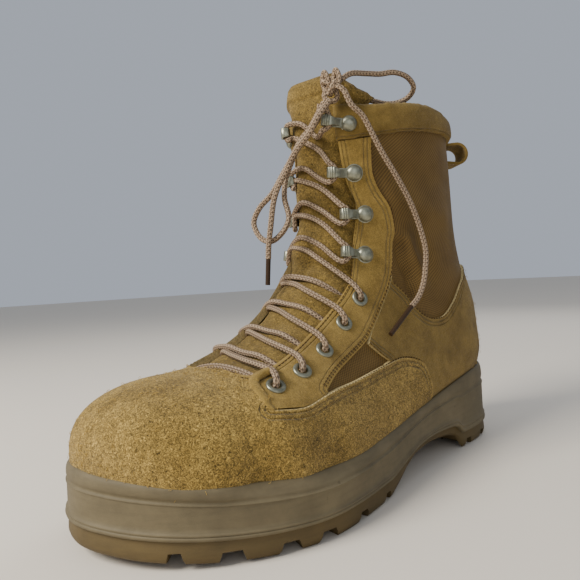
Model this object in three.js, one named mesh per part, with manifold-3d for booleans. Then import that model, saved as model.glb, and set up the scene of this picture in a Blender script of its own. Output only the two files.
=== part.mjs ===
// Left combat boot in rough suede and woven nylon, on a cupped rubber sole.
// Millimetres, +Z up, toe towards -Y, outer (lateral) side towards +X.
// The origin is on the floor under the middle of the heel.
import * as THREE from 'three';
import { mergeVertices } from 'three/addons/utils/BufferGeometryUtils.js';
import Module from 'manifold-3d';

const wasm = await Module();
wasm.setup();

// Driving dimensions of the sole
const LENGTH = 312;
const BALL_WIDTH = 129;
const HEEL_CENTRE = 45;
const OUTSOLE = 10;
const FOOTBED = 7.5;
const RIM_HEIGHT = 54;
const TOE_SPRING = 5.7;
const ARCH_RISE = 13;
const WAIST_STEP = 3;
const NOTCH_REACH = 23;
const NOTCH_HEIGHT = 5.2;

// Driving dimensions of the upper
const TOE_END = 4;
const INSTEP_HEIGHT = 124.5;
const SHAFT_HEIGHT = 100;
const WALL = 2.5;
const OVERLAY = 1.6;
const CUFF_PAD = 1.6;
const TONGUE_PAD = 4.5;
const INSOLE = 3.6;
const GAP = 0.3;
const OPEN_EDGE = 0.4;
const TONGUE_LAP = 9;

// Driving dimensions of the fittings and the lace
const EYELET_RADIUS = 5.2;
const EYELET_HOLE = 2.4;
const EYELET_BARREL = 0.8;
const EYELET_FLANGE = 0.8;
const EYELET_SEAT = 0.6;
const HOOK_WIDTH = 6;
const HOOK_METAL = 1.1;
const HOOK_DOME = 4.9;
const HOOK_RIVET = 2.7;
const HOOK_SEAT = 0.5;
const LACE = 3.5;
const LACE_LIFT = 0.7;
const LOOP_WIDTH = 20;
const LOOP_REACH = 28;
const LOOP_RISE = 17;
const LOOP_WALL = 2;
const LOOP_TURN = 35;

// How finely curved pieces are faceted
const AROUND = 18;
const CAP_STEPS = 5;
const FOOT_STEPS = 2;
const FOOT_END = 4;
const SOLE_STEPS = 2;

// Levels of the layers, measured from the outside of the overlays
const UPPER_OUT = -(OVERLAY + GAP);
const UPPER_IN = UPPER_OUT - WALL;
const TONGUE_OUT = UPPER_IN - GAP;
const TONGUE_IN = TONGUE_OUT - TONGUE_PAD;
const FOOT_BASE = OUTSOLE + FOOTBED;

// Small number helpers
const radians = THREE.MathUtils.degToRad;
const mix = THREE.MathUtils.lerp;

// A table of rows with named columns becomes one list of numbers for each column
function table(columns, rows) {
  return Object.fromEntries(columns.map((name, k) => [name, rows.map((row) => row[k])]));
}

// Smooth curve through a column that never overshoots between its rows
function curve(xs, ys) {
  const last = xs.length - 1;
  const slope = (k) => (ys[k + 1] - ys[k]) / (xs[k + 1] - xs[k]);
  const tangent = xs.map((_, k) => {
    if (k === 0) return slope(0);
    if (k === last) return slope(last - 1);
    const [before, after] = [slope(k - 1), slope(k)];
    if (before * after <= 0) return 0;
    return (2 * before * after) / (before + after);
  });
  return (x) => {
    let k = 0;
    while (k < last - 1 && x > xs[k + 1]) k += 1;
    const width = xs[k + 1] - xs[k];
    const u = THREE.MathUtils.clamp((x - xs[k]) / width, 0, 1);
    const rise = ys[k] * (1 + 2 * u) * (1 - u) ** 2 + ys[k + 1] * u * u * (3 - 2 * u);
    return rise + width * (tangent[k] * u * (1 - u) ** 2 - tangent[k + 1] * u * u * (1 - u));
  };
}

// Along is a share of the length from the heel's back, and y is its place
const yOf = (along) => HEEL_CENTRE - along * LENGTH;
const alongOf = (y) => (HEEL_CENTRE - y) / LENGTH;

// Up is 0 on the footbed at the ball, 1 at the bend of the instep and 2 at the collar
function zOf(up) {
  if (up <= 1) return FOOT_BASE + up * INSTEP_HEIGHT;
  return FOOT_BASE + INSTEP_HEIGHT + (up - 1) * SHAFT_HEIGHT;
}

// Sections of the last, from the toe cap up to above the collar. Each is an oval from its front
// or top point to its back or bottom point. Widths are shares of the ball width.
const lastRows = table(
  ['frontAlong', 'frontUp', 'backAlong', 'backUp', 'lateral', 'medial', 'widest', 'frontPower', 'backPower'],
  [
    [0.821, 0.478, 0.821, 0.012, 0.425, 0.434, -0.30, 2.4, 3.2],
    [0.769, 0.502, 0.737, 0.000, 0.488, 0.426, -0.42, 2.2, 3.4],
    [0.705, 0.550, 0.622, -0.004, 0.488, 0.395, -0.48, 2.1, 3.4],
    [0.638, 0.647, 0.487, 0.020, 0.434, 0.357, -0.50, 2.0, 3.2],
    [0.580, 0.767, 0.340, 0.076, 0.380, 0.333, -0.45, 2.0, 3.0],
    [0.542, 0.896, 0.199, 0.124, 0.357, 0.333, -0.38, 2.0, 2.9],
    [0.522, 1.000, 0.077, 0.157, 0.349, 0.333, -0.32, 2.1, 2.7],
    [0.513, 1.120, 0.013, 0.325, 0.341, 0.326, -0.25, 2.1, 2.5],
    [0.506, 1.260, 0.008, 0.534, 0.333, 0.326, -0.15, 2.1, 2.3],
    [0.503, 1.420, 0.042, 0.791, 0.326, 0.326, -0.05, 2.1, 2.2],
    [0.502, 1.620, 0.071, 1.040, 0.333, 0.333, 0.00, 2.2, 2.2],
    [0.503, 1.850, 0.087, 1.480, 0.341, 0.341, 0.00, 2.2, 2.2],
    [0.506, 1.990, 0.112, 2.010, 0.349, 0.349, 0.00, 2.2, 2.2],
    [0.519, 2.480, 0.135, 2.480, 0.349, 0.349, 0.00, 2.2, 2.2],
  ],
);
const LAST_END = lastRows.frontAlong.length - 1;
const stations = lastRows.frontAlong.map((_, k) => k);
const lastCurves = Object.fromEntries(
  Object.entries(lastRows).map(([name, values]) => [name, curve(stations, values)]),
);

// How the toe cap closes: its roundness, the height of its tip and the drift of its tip inwards
const CAP_POWER = 2.05;
const CAP_TIP_UP = 0.42;
const CAP_DROOP = 0.8;
const CAP_DRIFT = -0.07;
const CAP_TURN = 1.5;
const CAP_START = -0.98;

// Section of the last at a station: below 0 lies the toe cap, whose tip is at -1
function lastSection(station) {
  const at = {};
  for (const name of Object.keys(lastCurves)) at[name] = lastCurves[name](Math.max(station, 0));
  const section = {
    front: new THREE.Vector2(yOf(at.frontAlong), zOf(at.frontUp)),
    back: new THREE.Vector2(yOf(at.backAlong), zOf(at.backUp)),
    lateral: at.lateral * BALL_WIDTH,
    medial: -at.medial * BALL_WIDTH,
    widest: at.widest,
    frontPower: at.frontPower,
    backPower: at.backPower,
  };
  if (station >= 0) return section;
  const reach = Math.sin((-station * Math.PI) / 2);
  const shrink = (1 - reach ** CAP_POWER) ** (1 / CAP_POWER);
  const y = mix(section.front.x, HEEL_CENTRE - LENGTH + TOE_END, reach);
  const tip = mix(section.back.y, section.front.y, CAP_TIP_UP);
  const drift = CAP_DRIFT * BALL_WIDTH * reach ** CAP_TURN;
  section.front.set(y, mix(tip, section.front.y, shrink ** CAP_DROOP));
  section.back.set(y, mix(tip, section.back.y, shrink ** CAP_DROOP));
  section.lateral = section.lateral * shrink + drift;
  section.medial = section.medial * shrink + drift;
  return section;
}

// Point on a section: cosine 1 is its front or top, sine 1 its lateral side
function sectionPoint(section, cosine, sine) {
  const power = cosine >= 0 ? section.frontPower : section.backPower;
  const swing = Math.abs(cosine) ** (2 / power);
  const along = cosine >= 0
    ? section.widest + (1 - section.widest) * swing
    : section.widest - (1 + section.widest) * swing;
  const halfWidth = (section.lateral - section.medial) / 2;
  const side = Math.sign(sine) * Math.abs(sine) ** (2 / power) * halfWidth;
  const place = section.back.clone().lerp(section.front, (along + 1) / 2);
  return new THREE.Vector3((section.lateral + section.medial) / 2 + side, place.x, place.y);
}

// Stations of the form's rings, from the tip of the toe to above the collar
const ringStations = [];
for (let k = 0; k < CAP_STEPS; k += 1) ringStations.push(CAP_START * (1 - k / CAP_STEPS));
for (let k = 0; k < FOOT_END * FOOT_STEPS; k += 1) ringStations.push(k / FOOT_STEPS);
for (let station = FOOT_END; station <= LAST_END; station += 1) ringStations.push(station);

const lastRings = ringStations.map((station) => {
  const section = lastSection(station);
  return Array.from({ length: AROUND }, (_, k) => {
    const angle = (2 * Math.PI * k) / AROUND;
    return sectionPoint(section, Math.cos(angle), Math.sin(angle));
  });
});

// Closed solid through rings of points. Each end is closed straight across, from the lateral
// half of its ring to the medial half.
function loft(rings) {
  const count = rings[0].length;
  const positions = rings.flat().flatMap((p) => [p.x, p.y, p.z]);
  const faces = [];
  for (let r = 0; r < rings.length - 1; r += 1) {
    for (let k = 0; k < count; k += 1) {
      const [a, b] = [r * count + k, r * count + ((k + 1) % count)];
      faces.push(a, b, a + count, b, b + count, a + count);
    }
  }
  const lastRing = (rings.length - 1) * count;
  for (let k = 0; k < count / 2; k += 1) {
    const [a, b] = [k, k + 1];
    const [c, d] = [(count - k) % count, count - k - 1];
    if (a !== c) faces.push(a, c, b, lastRing + a, lastRing + b, lastRing + c);
    if (b !== d) faces.push(b, c, d, lastRing + b, lastRing + d, lastRing + c);
  }
  const geometry = new THREE.BufferGeometry();
  geometry.setAttribute('position', new THREE.Float32BufferAttribute(positions, 3));
  geometry.setIndex(faces);
  return geometry;
}

// Solid for cutting and joining, with its faces turned out
function solidOf(geometry) {
  const bare = geometry.clone();
  bare.deleteAttribute('normal');
  bare.deleteAttribute('uv');
  const merged = mergeVertices(bare, 1e-4);
  const points = merged.attributes.position.array;
  const faces = Uint32Array.from(merged.index.array);
  let volume = 0;
  const [a, b, c] = [new THREE.Vector3(), new THREE.Vector3(), new THREE.Vector3()];
  for (let k = 0; k < faces.length; k += 3) {
    a.fromArray(points, faces[k] * 3);
    b.fromArray(points, faces[k + 1] * 3);
    c.fromArray(points, faces[k + 2] * 3);
    volume += a.dot(b.cross(c));
  }
  if (volume < 0) {
    for (let k = 0; k < faces.length; k += 3) [faces[k], faces[k + 1]] = [faces[k + 1], faces[k]];
  }
  return new wasm.Manifold(
    new wasm.Mesh({ numProp: 3, vertProperties: Float32Array.from(points), triVerts: faces }),
  );
}

// The last grown outwards by an offset, or shrunk inwards by a negative one
function form(offset) {
  const [along, around, normal] = [new THREE.Vector3(), new THREE.Vector3(), new THREE.Vector3()];
  const rings = lastRings.map((ring, r) => {
    const before = lastRings[Math.max(r - 1, 0)];
    const after = lastRings[Math.min(r + 1, lastRings.length - 1)];
    return ring.map((point, k) => {
      along.subVectors(after[k], before[k]);
      around.subVectors(ring[(k + 1) % AROUND], ring[(k + AROUND - 1) % AROUND]);
      normal.crossVectors(around, along).normalize();
      return point.clone().addScaledVector(normal, offset);
    });
  });
  return solidOf(loft(rings));
}

// Place over the last: a station along it, a distance x from its middle and a height above it
function overLast(station, x, height) {
  const at = (where, side) => {
    const section = lastSection(where);
    const middle = (section.lateral + section.medial) / 2;
    const halfWidth = (section.lateral - section.medial) / 2;
    const share = Math.min(Math.abs(side - middle) / halfWidth, 0.97);
    const sine = Math.sign(side - middle) * share ** (section.frontPower / 2);
    return sectionPoint(section, Math.sqrt(1 - sine * sine), sine);
  };
  const step = 0.05;
  const along = at(station + step, x).sub(at(station - step, x));
  const across = at(station, x + 1).sub(at(station, x - 1));
  const normal = across.clone().cross(along).normalize();
  const place = at(station, x).addScaledVector(normal, height);
  return { place, normal, across: across.normalize() };
}

// Block over a side outline, given as places [along, up], from x to x
function sideBlock(outline, xFrom, xTo) {
  const shape = new THREE.Shape(outline.map(([along, up]) => new THREE.Vector2(yOf(along), zOf(up))));
  const geometry = new THREE.ExtrudeGeometry(shape, { depth: xTo - xFrom, bevelEnabled: false });
  const turn = new THREE.Matrix4().set(0, 0, 1, xFrom, 1, 0, 0, 0, 0, 1, 0, 0, 0, 0, 0, 1);
  return solidOf(geometry.applyMatrix4(turn));
}
const WIDE = BALL_WIDTH;
const bothSides = (outline) => sideBlock(outline, -WIDE, WIDE);
const lateralSide = (outline) => sideBlock(outline, 0, WIDE);
const medialSide = (outline) => sideBlock(outline, -WIDE, 0);

// Outline of the sole seen from below, as shares of the length and of the ball width
const soleRows = table(
  ['along', 'lateral', 'medial'],
  [
    [0.03, 0.206, 0.206],
    [0.08, 0.301, 0.301],
    [0.15, 0.344, 0.341],
    [0.25, 0.363, 0.347],
    [0.35, 0.385, 0.352],
    [0.45, 0.433, 0.363],
    [0.55, 0.491, 0.391],
    [0.65, 0.540, 0.426],
    [0.72, 0.549, 0.457],
    [0.80, 0.504, 0.473],
    [0.88, 0.405, 0.450],
    [0.94, 0.279, 0.380],
    [0.98, 0.126, 0.264],
  ],
);
const TOE_POINT = CAP_DRIFT;

const solePoints = [new THREE.Vector3(0, yOf(0), 0)];
soleRows.along.forEach((along, k) => {
  solePoints.push(new THREE.Vector3(soleRows.lateral[k] * BALL_WIDTH, yOf(along), 0));
});
solePoints.push(new THREE.Vector3(TOE_POINT * BALL_WIDTH, yOf(1), 0));
for (let k = soleRows.along.length - 1; k >= 0; k -= 1) {
  solePoints.push(new THREE.Vector3(-soleRows.medial[k] * BALL_WIDTH, yOf(soleRows.along[k]), 0));
}
const soleOutline = new THREE.CatmullRomCurve3(solePoints, true, 'centripetal');
const SOLE_COUNT = solePoints.length * SOLE_STEPS;

// Ring of the sole's outline moved outwards, and drawn in at the waist, at a height that
// follows the place along it
function soleRing(outwards, heightAt, waist = 0) {
  return Array.from({ length: SOLE_COUNT }, (_, k) => {
    const point = soleOutline.getPoint(k / SOLE_COUNT);
    const tangent = soleOutline.getTangent(k / SOLE_COUNT);
    const along = THREE.MathUtils.clamp(alongOf(point.y), 0, 1);
    const out = outwards - waist * archShare(along);
    return new THREE.Vector3(point.x - tangent.y * out, point.y + tangent.x * out, heightAt(along));
  });
}

// Height of the walking face: flat heel and ball, raised arch and sprung toe
const underRows = table(
  ['along', 'arch', 'spring'],
  [
    [0.00, 0.00, 0.00],
    [0.21, 0.00, 0.00],
    [0.235, 0.72, 0.00],
    [0.27, 0.92, 0.00],
    [0.33, 1.00, 0.00],
    [0.40, 0.92, 0.00],
    [0.45, 0.66, 0.00],
    [0.50, 0.27, 0.00],
    [0.55, 0.00, 0.00],
    [0.73, 0.00, 0.00],
    [0.80, 0.00, 0.10],
    [0.88, 0.00, 0.36],
    [0.94, 0.00, 0.66],
    [1.00, 0.00, 1.00],
  ],
);
const archShare = curve(underRows.along, underRows.arch);
const springShare = curve(underRows.along, underRows.spring);
const underAt = (along) => archShare(along) * ARCH_RISE + springShare(along) * TOE_SPRING;

// Seam between outsole and midsole: the outsole thins to half its edge over the arch
const seamAt = (along) => underAt(along) + OUTSOLE * (1 - 0.45 * archShare(along));

// Top rim of the cup, as shares of the rim height at the heel
const rimRows = table(
  ['along', 'up'],
  [[0, 0.995], [0.12, 0.963], [0.28, 0.810], [0.40, 0.704], [0.55, 0.613], [0.70, 0.574], [0.85, 0.630], [1, 0.763]],
);
const rimShare = curve(rimRows.along, rimRows.up);
const rimAt = (along) => rimShare(along) * RIM_HEIGHT;

// Outside of the cup from its seam, up 0, to its rim, up 1: bead, flat wall, groove and lip
const cupRows = table(
  ['up', 'out'],
  [[0, -0.2], [0.06, 0.8], [0.15, -0.3], [0.66, -0.5], [0.71, -1.2], [0.77, -0.1], [1, -1.4]],
);

function midsole() {
  const rings = cupRows.up.map((up, k) => soleRing(
    cupRows.out[k],
    (along) => mix(seamAt(along) + GAP, rimAt(along), up),
  ));
  return solidOf(loft(rings)).subtract(form(UPPER_OUT + GAP));
}

// Edge of the outsole from the walking face, up 0, to the seam, up 1
const edgeRows = table(
  ['up', 'out'],
  [[0, -1.6], [0.3, 0], [1, -0.6]],
);

// Notches between the lugs, as shares of the length, with their widths
const notchRows = table(
  ['along', 'width'],
  [[0.045, 7], [0.11, 8], [0.185, 8], [0.555, 7], [0.640, 8], [0.722, 10], [0.792, 10], [0.868, 11], [0.930, 8]],
);

// One notch: a trapezoid cut in from the edge, square to the outline
function notch(along, width, side) {
  let nearest = 0;
  let best = Infinity;
  for (let k = 0; k < 400; k += 1) {
    const point = soleOutline.getPoint(k / 400);
    const off = Math.abs(alongOf(point.y) - along);
    if (point.x * side > 0 && off < best) [best, nearest] = [off, k / 400];
  }
  const point = soleOutline.getPoint(nearest);
  const tangent = soleOutline.getTangent(nearest);
  const low = -1;
  const high = NOTCH_HEIGHT + underAt(along);
  const shape = new THREE.Shape([
    new THREE.Vector2(-width / 2, low),
    new THREE.Vector2(width / 2, low),
    new THREE.Vector2(width / 2 - 1.5, high),
    new THREE.Vector2(1.5 - width / 2, high),
  ]);
  const geometry = new THREE.ExtrudeGeometry(shape, { depth: NOTCH_REACH + 4, bevelEnabled: false });
  const inwards = new THREE.Vector3(tangent.y, -tangent.x, 0);
  const up = new THREE.Vector3(0, 0, 1);
  const start = point.clone().addScaledVector(inwards, -4).setZ(0);
  const turn = new THREE.Matrix4().makeBasis(tangent, up, inwards).setPosition(start);
  return solidOf(geometry.applyMatrix4(turn));
}

function outsole() {
  const rings = edgeRows.up.map((up, k) => soleRing(
    edgeRows.out[k],
    (along) => mix(underAt(along), seamAt(along), up),
    WAIST_STEP,
  ));
  let solid = solidOf(loft(rings));
  notchRows.along.forEach((along, k) => {
    for (const side of [1, -1]) solid = solid.subtract(notch(along, notchRows.width[k], side));
  });
  return solid;
}

// Underside of the last seen from the side, as places [along, up]
const bottomLine = lastRows.backAlong
  .slice(0, 7)
  .map((along, k) => [along, lastRows.backUp[k]]);
const BOTTOM_TOE = 0.095;
const bottomEdge = [[1.05, BOTTOM_TOE + 0.03], [0.96, BOTTOM_TOE], [0.9, 0.05], ...bottomLine, [-0.05, 0.19]];
const raised = (line, height) => line.map(([along, up]) => [along, up + height / INSTEP_HEIGHT]);

// The upper's edge turns in this far above the last's underside, and the insole closes it
const TURN_IN = INSOLE + GAP;
const underUpper = [...raised(bottomEdge, TURN_IN), [-0.05, -1], [1.05, -1]];
const insoleBand = [...raised(bottomEdge, INSOLE), ...raised(bottomEdge, -1).reverse()];

// Throat: half widths of the opening to both sides, as shares of the ball width
const throatRows = table(
  ['station', 'lateral', 'medial'],
  [
    [0.70, 0.085, 0.060],
    [0.85, 0.175, 0.130],
    [1.15, 0.252, 0.186],
    [2.00, 0.244, 0.186],
    [3.00, 0.221, 0.171],
    [4.00, 0.205, 0.171],
    [5.00, 0.202, 0.171],
    [6.60, 0.184, 0.171],
    [8.00, 0.190, 0.178],
    [9.00, 0.163, 0.155],
    [10.0, 0.151, 0.147],
    [11.0, 0.136, 0.140],
    [12.0, 0.186, 0.186],
    [13.0, 0.202, 0.202],
  ],
);
const throatLateral = curve(throatRows.station, throatRows.lateral);
const throatMedial = curve(throatRows.station, throatRows.medial);
const STRIP_UP = 12;
const STRIP_DOWN = 34;

// Strip that follows the ridge of the last, wider than the throat by a margin
function ridgeStrip(margin) {
  const rings = [];
  for (const station of throatRows.station) {
    const here = lastSection(station).front;
    const next = lastSection(Math.min(station + 0.1, LAST_END)).front;
    const before = lastSection(station - 0.1).front;
    const tangent = next.clone().sub(before).normalize();
    const normal = new THREE.Vector2(-tangent.y, tangent.x);
    const high = here.clone().addScaledVector(normal, STRIP_UP);
    const low = here.clone().addScaledVector(normal, -STRIP_DOWN);
    const lateral = throatLateral(station) * BALL_WIDTH + margin;
    const medial = -throatMedial(station) * BALL_WIDTH - margin;
    rings.push([
      new THREE.Vector3(lateral, high.x, high.y),
      new THREE.Vector3(lateral, low.x, low.y),
      new THREE.Vector3(medial, low.x, low.y),
      new THREE.Vector3(medial, high.x, high.y),
    ]);
  }
  return solidOf(loft(rings));
}

// Side outlines of the panels, as places [along, up]
const FAR_UP = 3;
const cuffTop = [
  [0.60, 1.86], [0.478, 1.867], [0.439, 1.862], [0.388, 1.882], [0.308, 1.903], [0.253, 1.895], [0.160, 1.870],
  [-0.05, 1.835],
];
const cuffBottom = [[0.60, 1.64], [0.484, 1.65], [0.436, 1.67], [0.362, 1.71], [0.234, 1.75], [-0.05, 1.75]];
const wingTop = [
  [0.779, 0.365], [0.718, 0.349], [0.660, 0.373], [0.580, 0.390], [0.481, 0.422], [0.420, 0.438], [0.362, 0.398],
  [0.340, 0.317], [0.330, 0.237], [0.340, 0.120],
];
const stayBack = [
  [0.718, 0.353], [0.670, 0.373], [0.657, 0.390], [0.615, 0.438], [0.513, 0.542], [0.487, 0.590], [0.436, 0.719],
  [0.403, 0.846], [0.390, 1.030], [0.386, 1.080], [0.394, 1.210], [0.417, 1.330], [0.433, 1.450], [0.437, 1.600],
  [0.436, 1.670],
];
const windowFront = [0.506, 0.530];
const windowFoot = [0.462, 0.436];
const counterTop = [
  [0.401, 0.815], [0.368, 0.737], [0.353, 0.682], [0.324, 0.628], [0.295, 0.605], [0.260, 0.609], [0.215, 0.679],
  [0.168, 0.790], [0.096, 0.888], [-0.05, 0.910],
];
const tongueTop = [
  [0.62, 2.08], [0.493, 2.07], [0.484, 2.03], [0.462, 1.98], [0.434, 1.93], [0.397, 1.88], [0.321, 1.75],
  [0.25, 1.55],
];

const under = (line) => [...line, [-0.05, -1], [line[0][0], -1]];
const above = (line) => [...line, [-0.05, FAR_UP], [line[0][0], FAR_UP]];

// Everything below the rim of the cup, which the panels stop at
function belowRim() {
  return solidOf(loft([soleRing(0, () => -1), soleRing(0, (along) => rimAt(along) + GAP)]));
}

const throat = ridgeStrip(0);
const overCollar = bothSides(above(cuffTop));
const rimCut = belowRim();

// Shell between two offsets of the last
const shell = (outside, inside) => form(outside).subtract(form(inside));

// Holes for the eyelets, through every layer
const fastenRows = table(
  ['station', 'x'],
  [[1.31, 0.336], [2.15, 0.327], [2.99, 0.294], [3.93, 0.258], [4.86, 0.244], [6.64, 0.218], [8.23, 0.214],
    [9.45, 0.196], [10.66, 0.195]],
);
const EYELETS = 5;
const HOOK_LACE = 9.4;
const fasteners = fastenRows.station.map((station, k) => {
  const section = lastSection(station);
  const middle = (section.lateral + section.medial) / 2;
  const lateral = fastenRows.x[k] * BALL_WIDTH;
  const isEyelet = k < EYELETS;
  return {
    station,
    lateral,
    medial: 2 * middle - lateral,
    base: k === fastenRows.x.length - 1 ? CUFF_PAD : 0,
    top: isEyelet ? EYELET_SEAT + EYELET_FLANGE : 0,
    laceEnd: isEyelet ? 0 : HOOK_LACE,
    laceSide: (LACE + (isEyelet ? 0 : HOOK_WIDTH)) / 2 + GAP,
  };
});

// Frame of a fitting that sits flat on the last: u points to the throat, w away from the boot
function seat(fastener, side, height) {
  const x = side > 0 ? fastener.lateral : fastener.medial;
  const { place, normal, across } = overLast(fastener.station, x, height + fastener.base);
  const towards = across.clone().multiplyScalar(-side);
  const sideways = normal.clone().cross(towards);
  return new THREE.Matrix4().makeBasis(towards, sideways, normal).setPosition(place);
}

// Pin of an eyelet's outer barrel plus a margin, along w
function pin(frame, radius, low, high) {
  const geometry = new THREE.CylinderGeometry(radius, radius, high - low, 8);
  geometry.rotateX(Math.PI / 2).translate(0, 0, (high + low) / 2);
  return solidOf(geometry.applyMatrix4(frame));
}

function withEyeletHoles(solid, sides) {
  let cut = solid;
  for (const fastener of fasteners.slice(0, EYELETS)) {
    for (const side of sides) {
      const radius = EYELET_HOLE + EYELET_BARREL + OPEN_EDGE;
      cut = cut.subtract(pin(seat(fastener, side, 0), radius, TONGUE_OUT, 3));
    }
  }
  return cut;
}

function upper() {
  const wall = shell(UPPER_OUT, UPPER_IN)
    .subtract(bothSides(underUpper))
    .subtract(overCollar)
    .subtract(throat);
  return withEyeletHoles(wall, [1, -1]);
}

function tongue() {
  return shell(TONGUE_OUT, TONGUE_IN)
    .intersect(ridgeStrip(TONGUE_LAP))
    .intersect(bothSides(under(tongueTop)));
}

const insole = () => form(UPPER_OUT).intersect(bothSides(insoleBand));

// Overlays, all cut from one layer over the upper
const layer = shell(0, UPPER_OUT + GAP).subtract(throat).subtract(rimCut);

const vamp = () => layer.intersect(bothSides([...wingTop, [1.1, -1], [1.1, 0.75], [0.779, 0.75]]));

function counter() {
  const front = [...wingTop.slice(4)].reverse().map(([along, up]) => [along - 0.001, up + GAP / INSTEP_HEIGHT]);
  const outline = [
    [-0.05, 0], [0.339, 0], ...front, windowFoot, windowFront,
    ...stayBack.slice(5, 7).map(([along, up]) => [along - 0.002, up]), ...counterTop,
  ];
  return layer.intersect(bothSides(outline));
}

// The eyestay lies between the throat and its own back edge, and meets vamp and cuff at a gap
function eyestay(half, side) {
  const front = [[0.7785, 0.365], [0.7785, 0.9], [0.62, 1.7]];
  const foot = wingTop.slice(1, 3).map(([along, up]) => [along, up + GAP / INSTEP_HEIGHT]);
  const cuffEdge = cuffBottom.slice(0, 3).map(([along, up]) => [along, up - GAP / SHAFT_HEIGHT]);
  const outline = [
    [0.7785, 0.370], ...front.slice(1), ...cuffEdge,
    ...stayBack.slice(3, 14).reverse(), [0.657, 0.392], ...foot.reverse(),
  ];
  return withEyeletHoles(layer.intersect(half(outline)), [side]);
}

function collarCuff() {
  return shell(CUFF_PAD, UPPER_OUT + GAP)
    .intersect(bothSides(above(cuffBottom)))
    .subtract(overCollar)
    .subtract(throat);
}

// Narrow strip over the back seam, from the counter up to the cuff
function backstay() {
  const outline = [
    ...counterTop.slice(8).map(([along, up]) => [along, up + 0.004]),
    ...cuffBottom.slice(4).reverse().map(([along, up]) => [along, up - GAP / SHAFT_HEIGHT]),
  ];
  return layer.intersect(sideBlock(outline, -LOOP_WIDTH / 2, LOOP_WIDTH / 2));
}

// Loop of folded suede at the back of the cuff, leaning to the lateral side
function pullLoop() {
  const shape = new THREE.Shape();
  const high = LOOP_RISE / 2;
  shape.moveTo(0, -high);
  shape.lineTo(LOOP_REACH - high, -high);
  shape.absarc(LOOP_REACH - high, 0, high, -Math.PI / 2, Math.PI / 2);
  shape.lineTo(0, high);
  const hole = new THREE.Path();
  const inner = high - LOOP_WALL;
  hole.moveTo(LOOP_WALL, -inner);
  hole.lineTo(LOOP_REACH - high, -inner);
  hole.absarc(LOOP_REACH - high, 0, inner, -Math.PI / 2, Math.PI / 2);
  hole.lineTo(LOOP_WALL, inner);
  shape.holes.push(hole);
  const geometry = new THREE.ExtrudeGeometry(shape, { depth: LOOP_WIDTH, bevelEnabled: false, curveSegments: 6 });
  geometry.translate(0, 0, -LOOP_WIDTH / 2);
  const backwards = new THREE.Vector3(Math.sin(radians(LOOP_TURN)), Math.cos(radians(LOOP_TURN)), 0);
  const sideways = new THREE.Vector3(backwards.y, -backwards.x, 0);
  const up = new THREE.Vector3(0, 0, 1);
  const seamUp = 1.695;
  const backY = yOf(curve(lastRows.backUp, lastRows.backAlong)(seamUp));
  const base = new THREE.Vector3(0, backY - 6, zOf(seamUp));
  const turn = new THREE.Matrix4().makeBasis(backwards, up, sideways).setPosition(base);
  return solidOf(geometry.applyMatrix4(turn)).subtract(form(CUFF_PAD + GAP));
}

// Eyelet: a rounded flange on the eyestay and a barrel through the layers
function eyelet(frame) {
  const barrel = EYELET_HOLE + EYELET_BARREL;
  const profile = [
    [EYELET_HOLE, UPPER_IN + GAP], [barrel, UPPER_IN + GAP], [barrel, EYELET_SEAT], [EYELET_RADIUS, EYELET_SEAT],
    [EYELET_RADIUS - 0.8, EYELET_SEAT + EYELET_FLANGE], [EYELET_HOLE, EYELET_SEAT + EYELET_FLANGE],
    [EYELET_HOLE, UPPER_IN + GAP],
  ].map(([radius, height]) => new THREE.Vector2(radius, height));
  const geometry = new THREE.LatheGeometry(profile, 8).rotateX(Math.PI / 2);
  return solidOf(geometry.applyMatrix4(frame));
}

// Lace hook: a strap from under a domed rivet, raised over the lace and turned down at the throat
const HOOK_TUNNEL = LACE + LACE_LIFT + 2 * GAP;
function hook(frame) {
  const low = HOOK_SEAT;
  const top = HOOK_TUNNEL + HOOK_METAL;
  const shape = new THREE.Shape([
    [-1, low], [5, low], [6.6, HOOK_TUNNEL], [12, HOOK_TUNNEL], [12, low], [12 + HOOK_METAL, low],
    [12 + HOOK_METAL, top], [6, top], [-1, low + HOOK_METAL],
  ].map(([u, w]) => new THREE.Vector2(u, w)));
  const strap = new THREE.ExtrudeGeometry(shape, { depth: HOOK_WIDTH, bevelEnabled: false });
  strap.translate(0, 0, -HOOK_WIDTH / 2).rotateX(Math.PI / 2);
  const profile = [[0, low], [HOOK_DOME, low], [HOOK_DOME * 0.75, low + HOOK_RIVET * 0.7], [0, low + HOOK_RIVET]];
  const rivet = new THREE.LatheGeometry(profile.map(([radius, height]) => new THREE.Vector2(radius, height)), 8);
  rivet.rotateX(Math.PI / 2);
  return solidOf(strap.applyMatrix4(frame)).add(solidOf(rivet.applyMatrix4(frame)));
}

// Round lace along a smooth curve through points
function lace(points, steps, sides) {
  const path = new THREE.CatmullRomCurve3(points, false, 'centripetal');
  const section = new THREE.Shape(Array.from({ length: sides }, (_, k) => new THREE.Vector2(
    (LACE / 2) * Math.cos((2 * Math.PI * k) / sides),
    (LACE / 2) * Math.sin((2 * Math.PI * k) / sides),
  )));
  return solidOf(new THREE.ExtrudeGeometry(section, { steps, extrudePath: path, bevelEnabled: false }));
}

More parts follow.
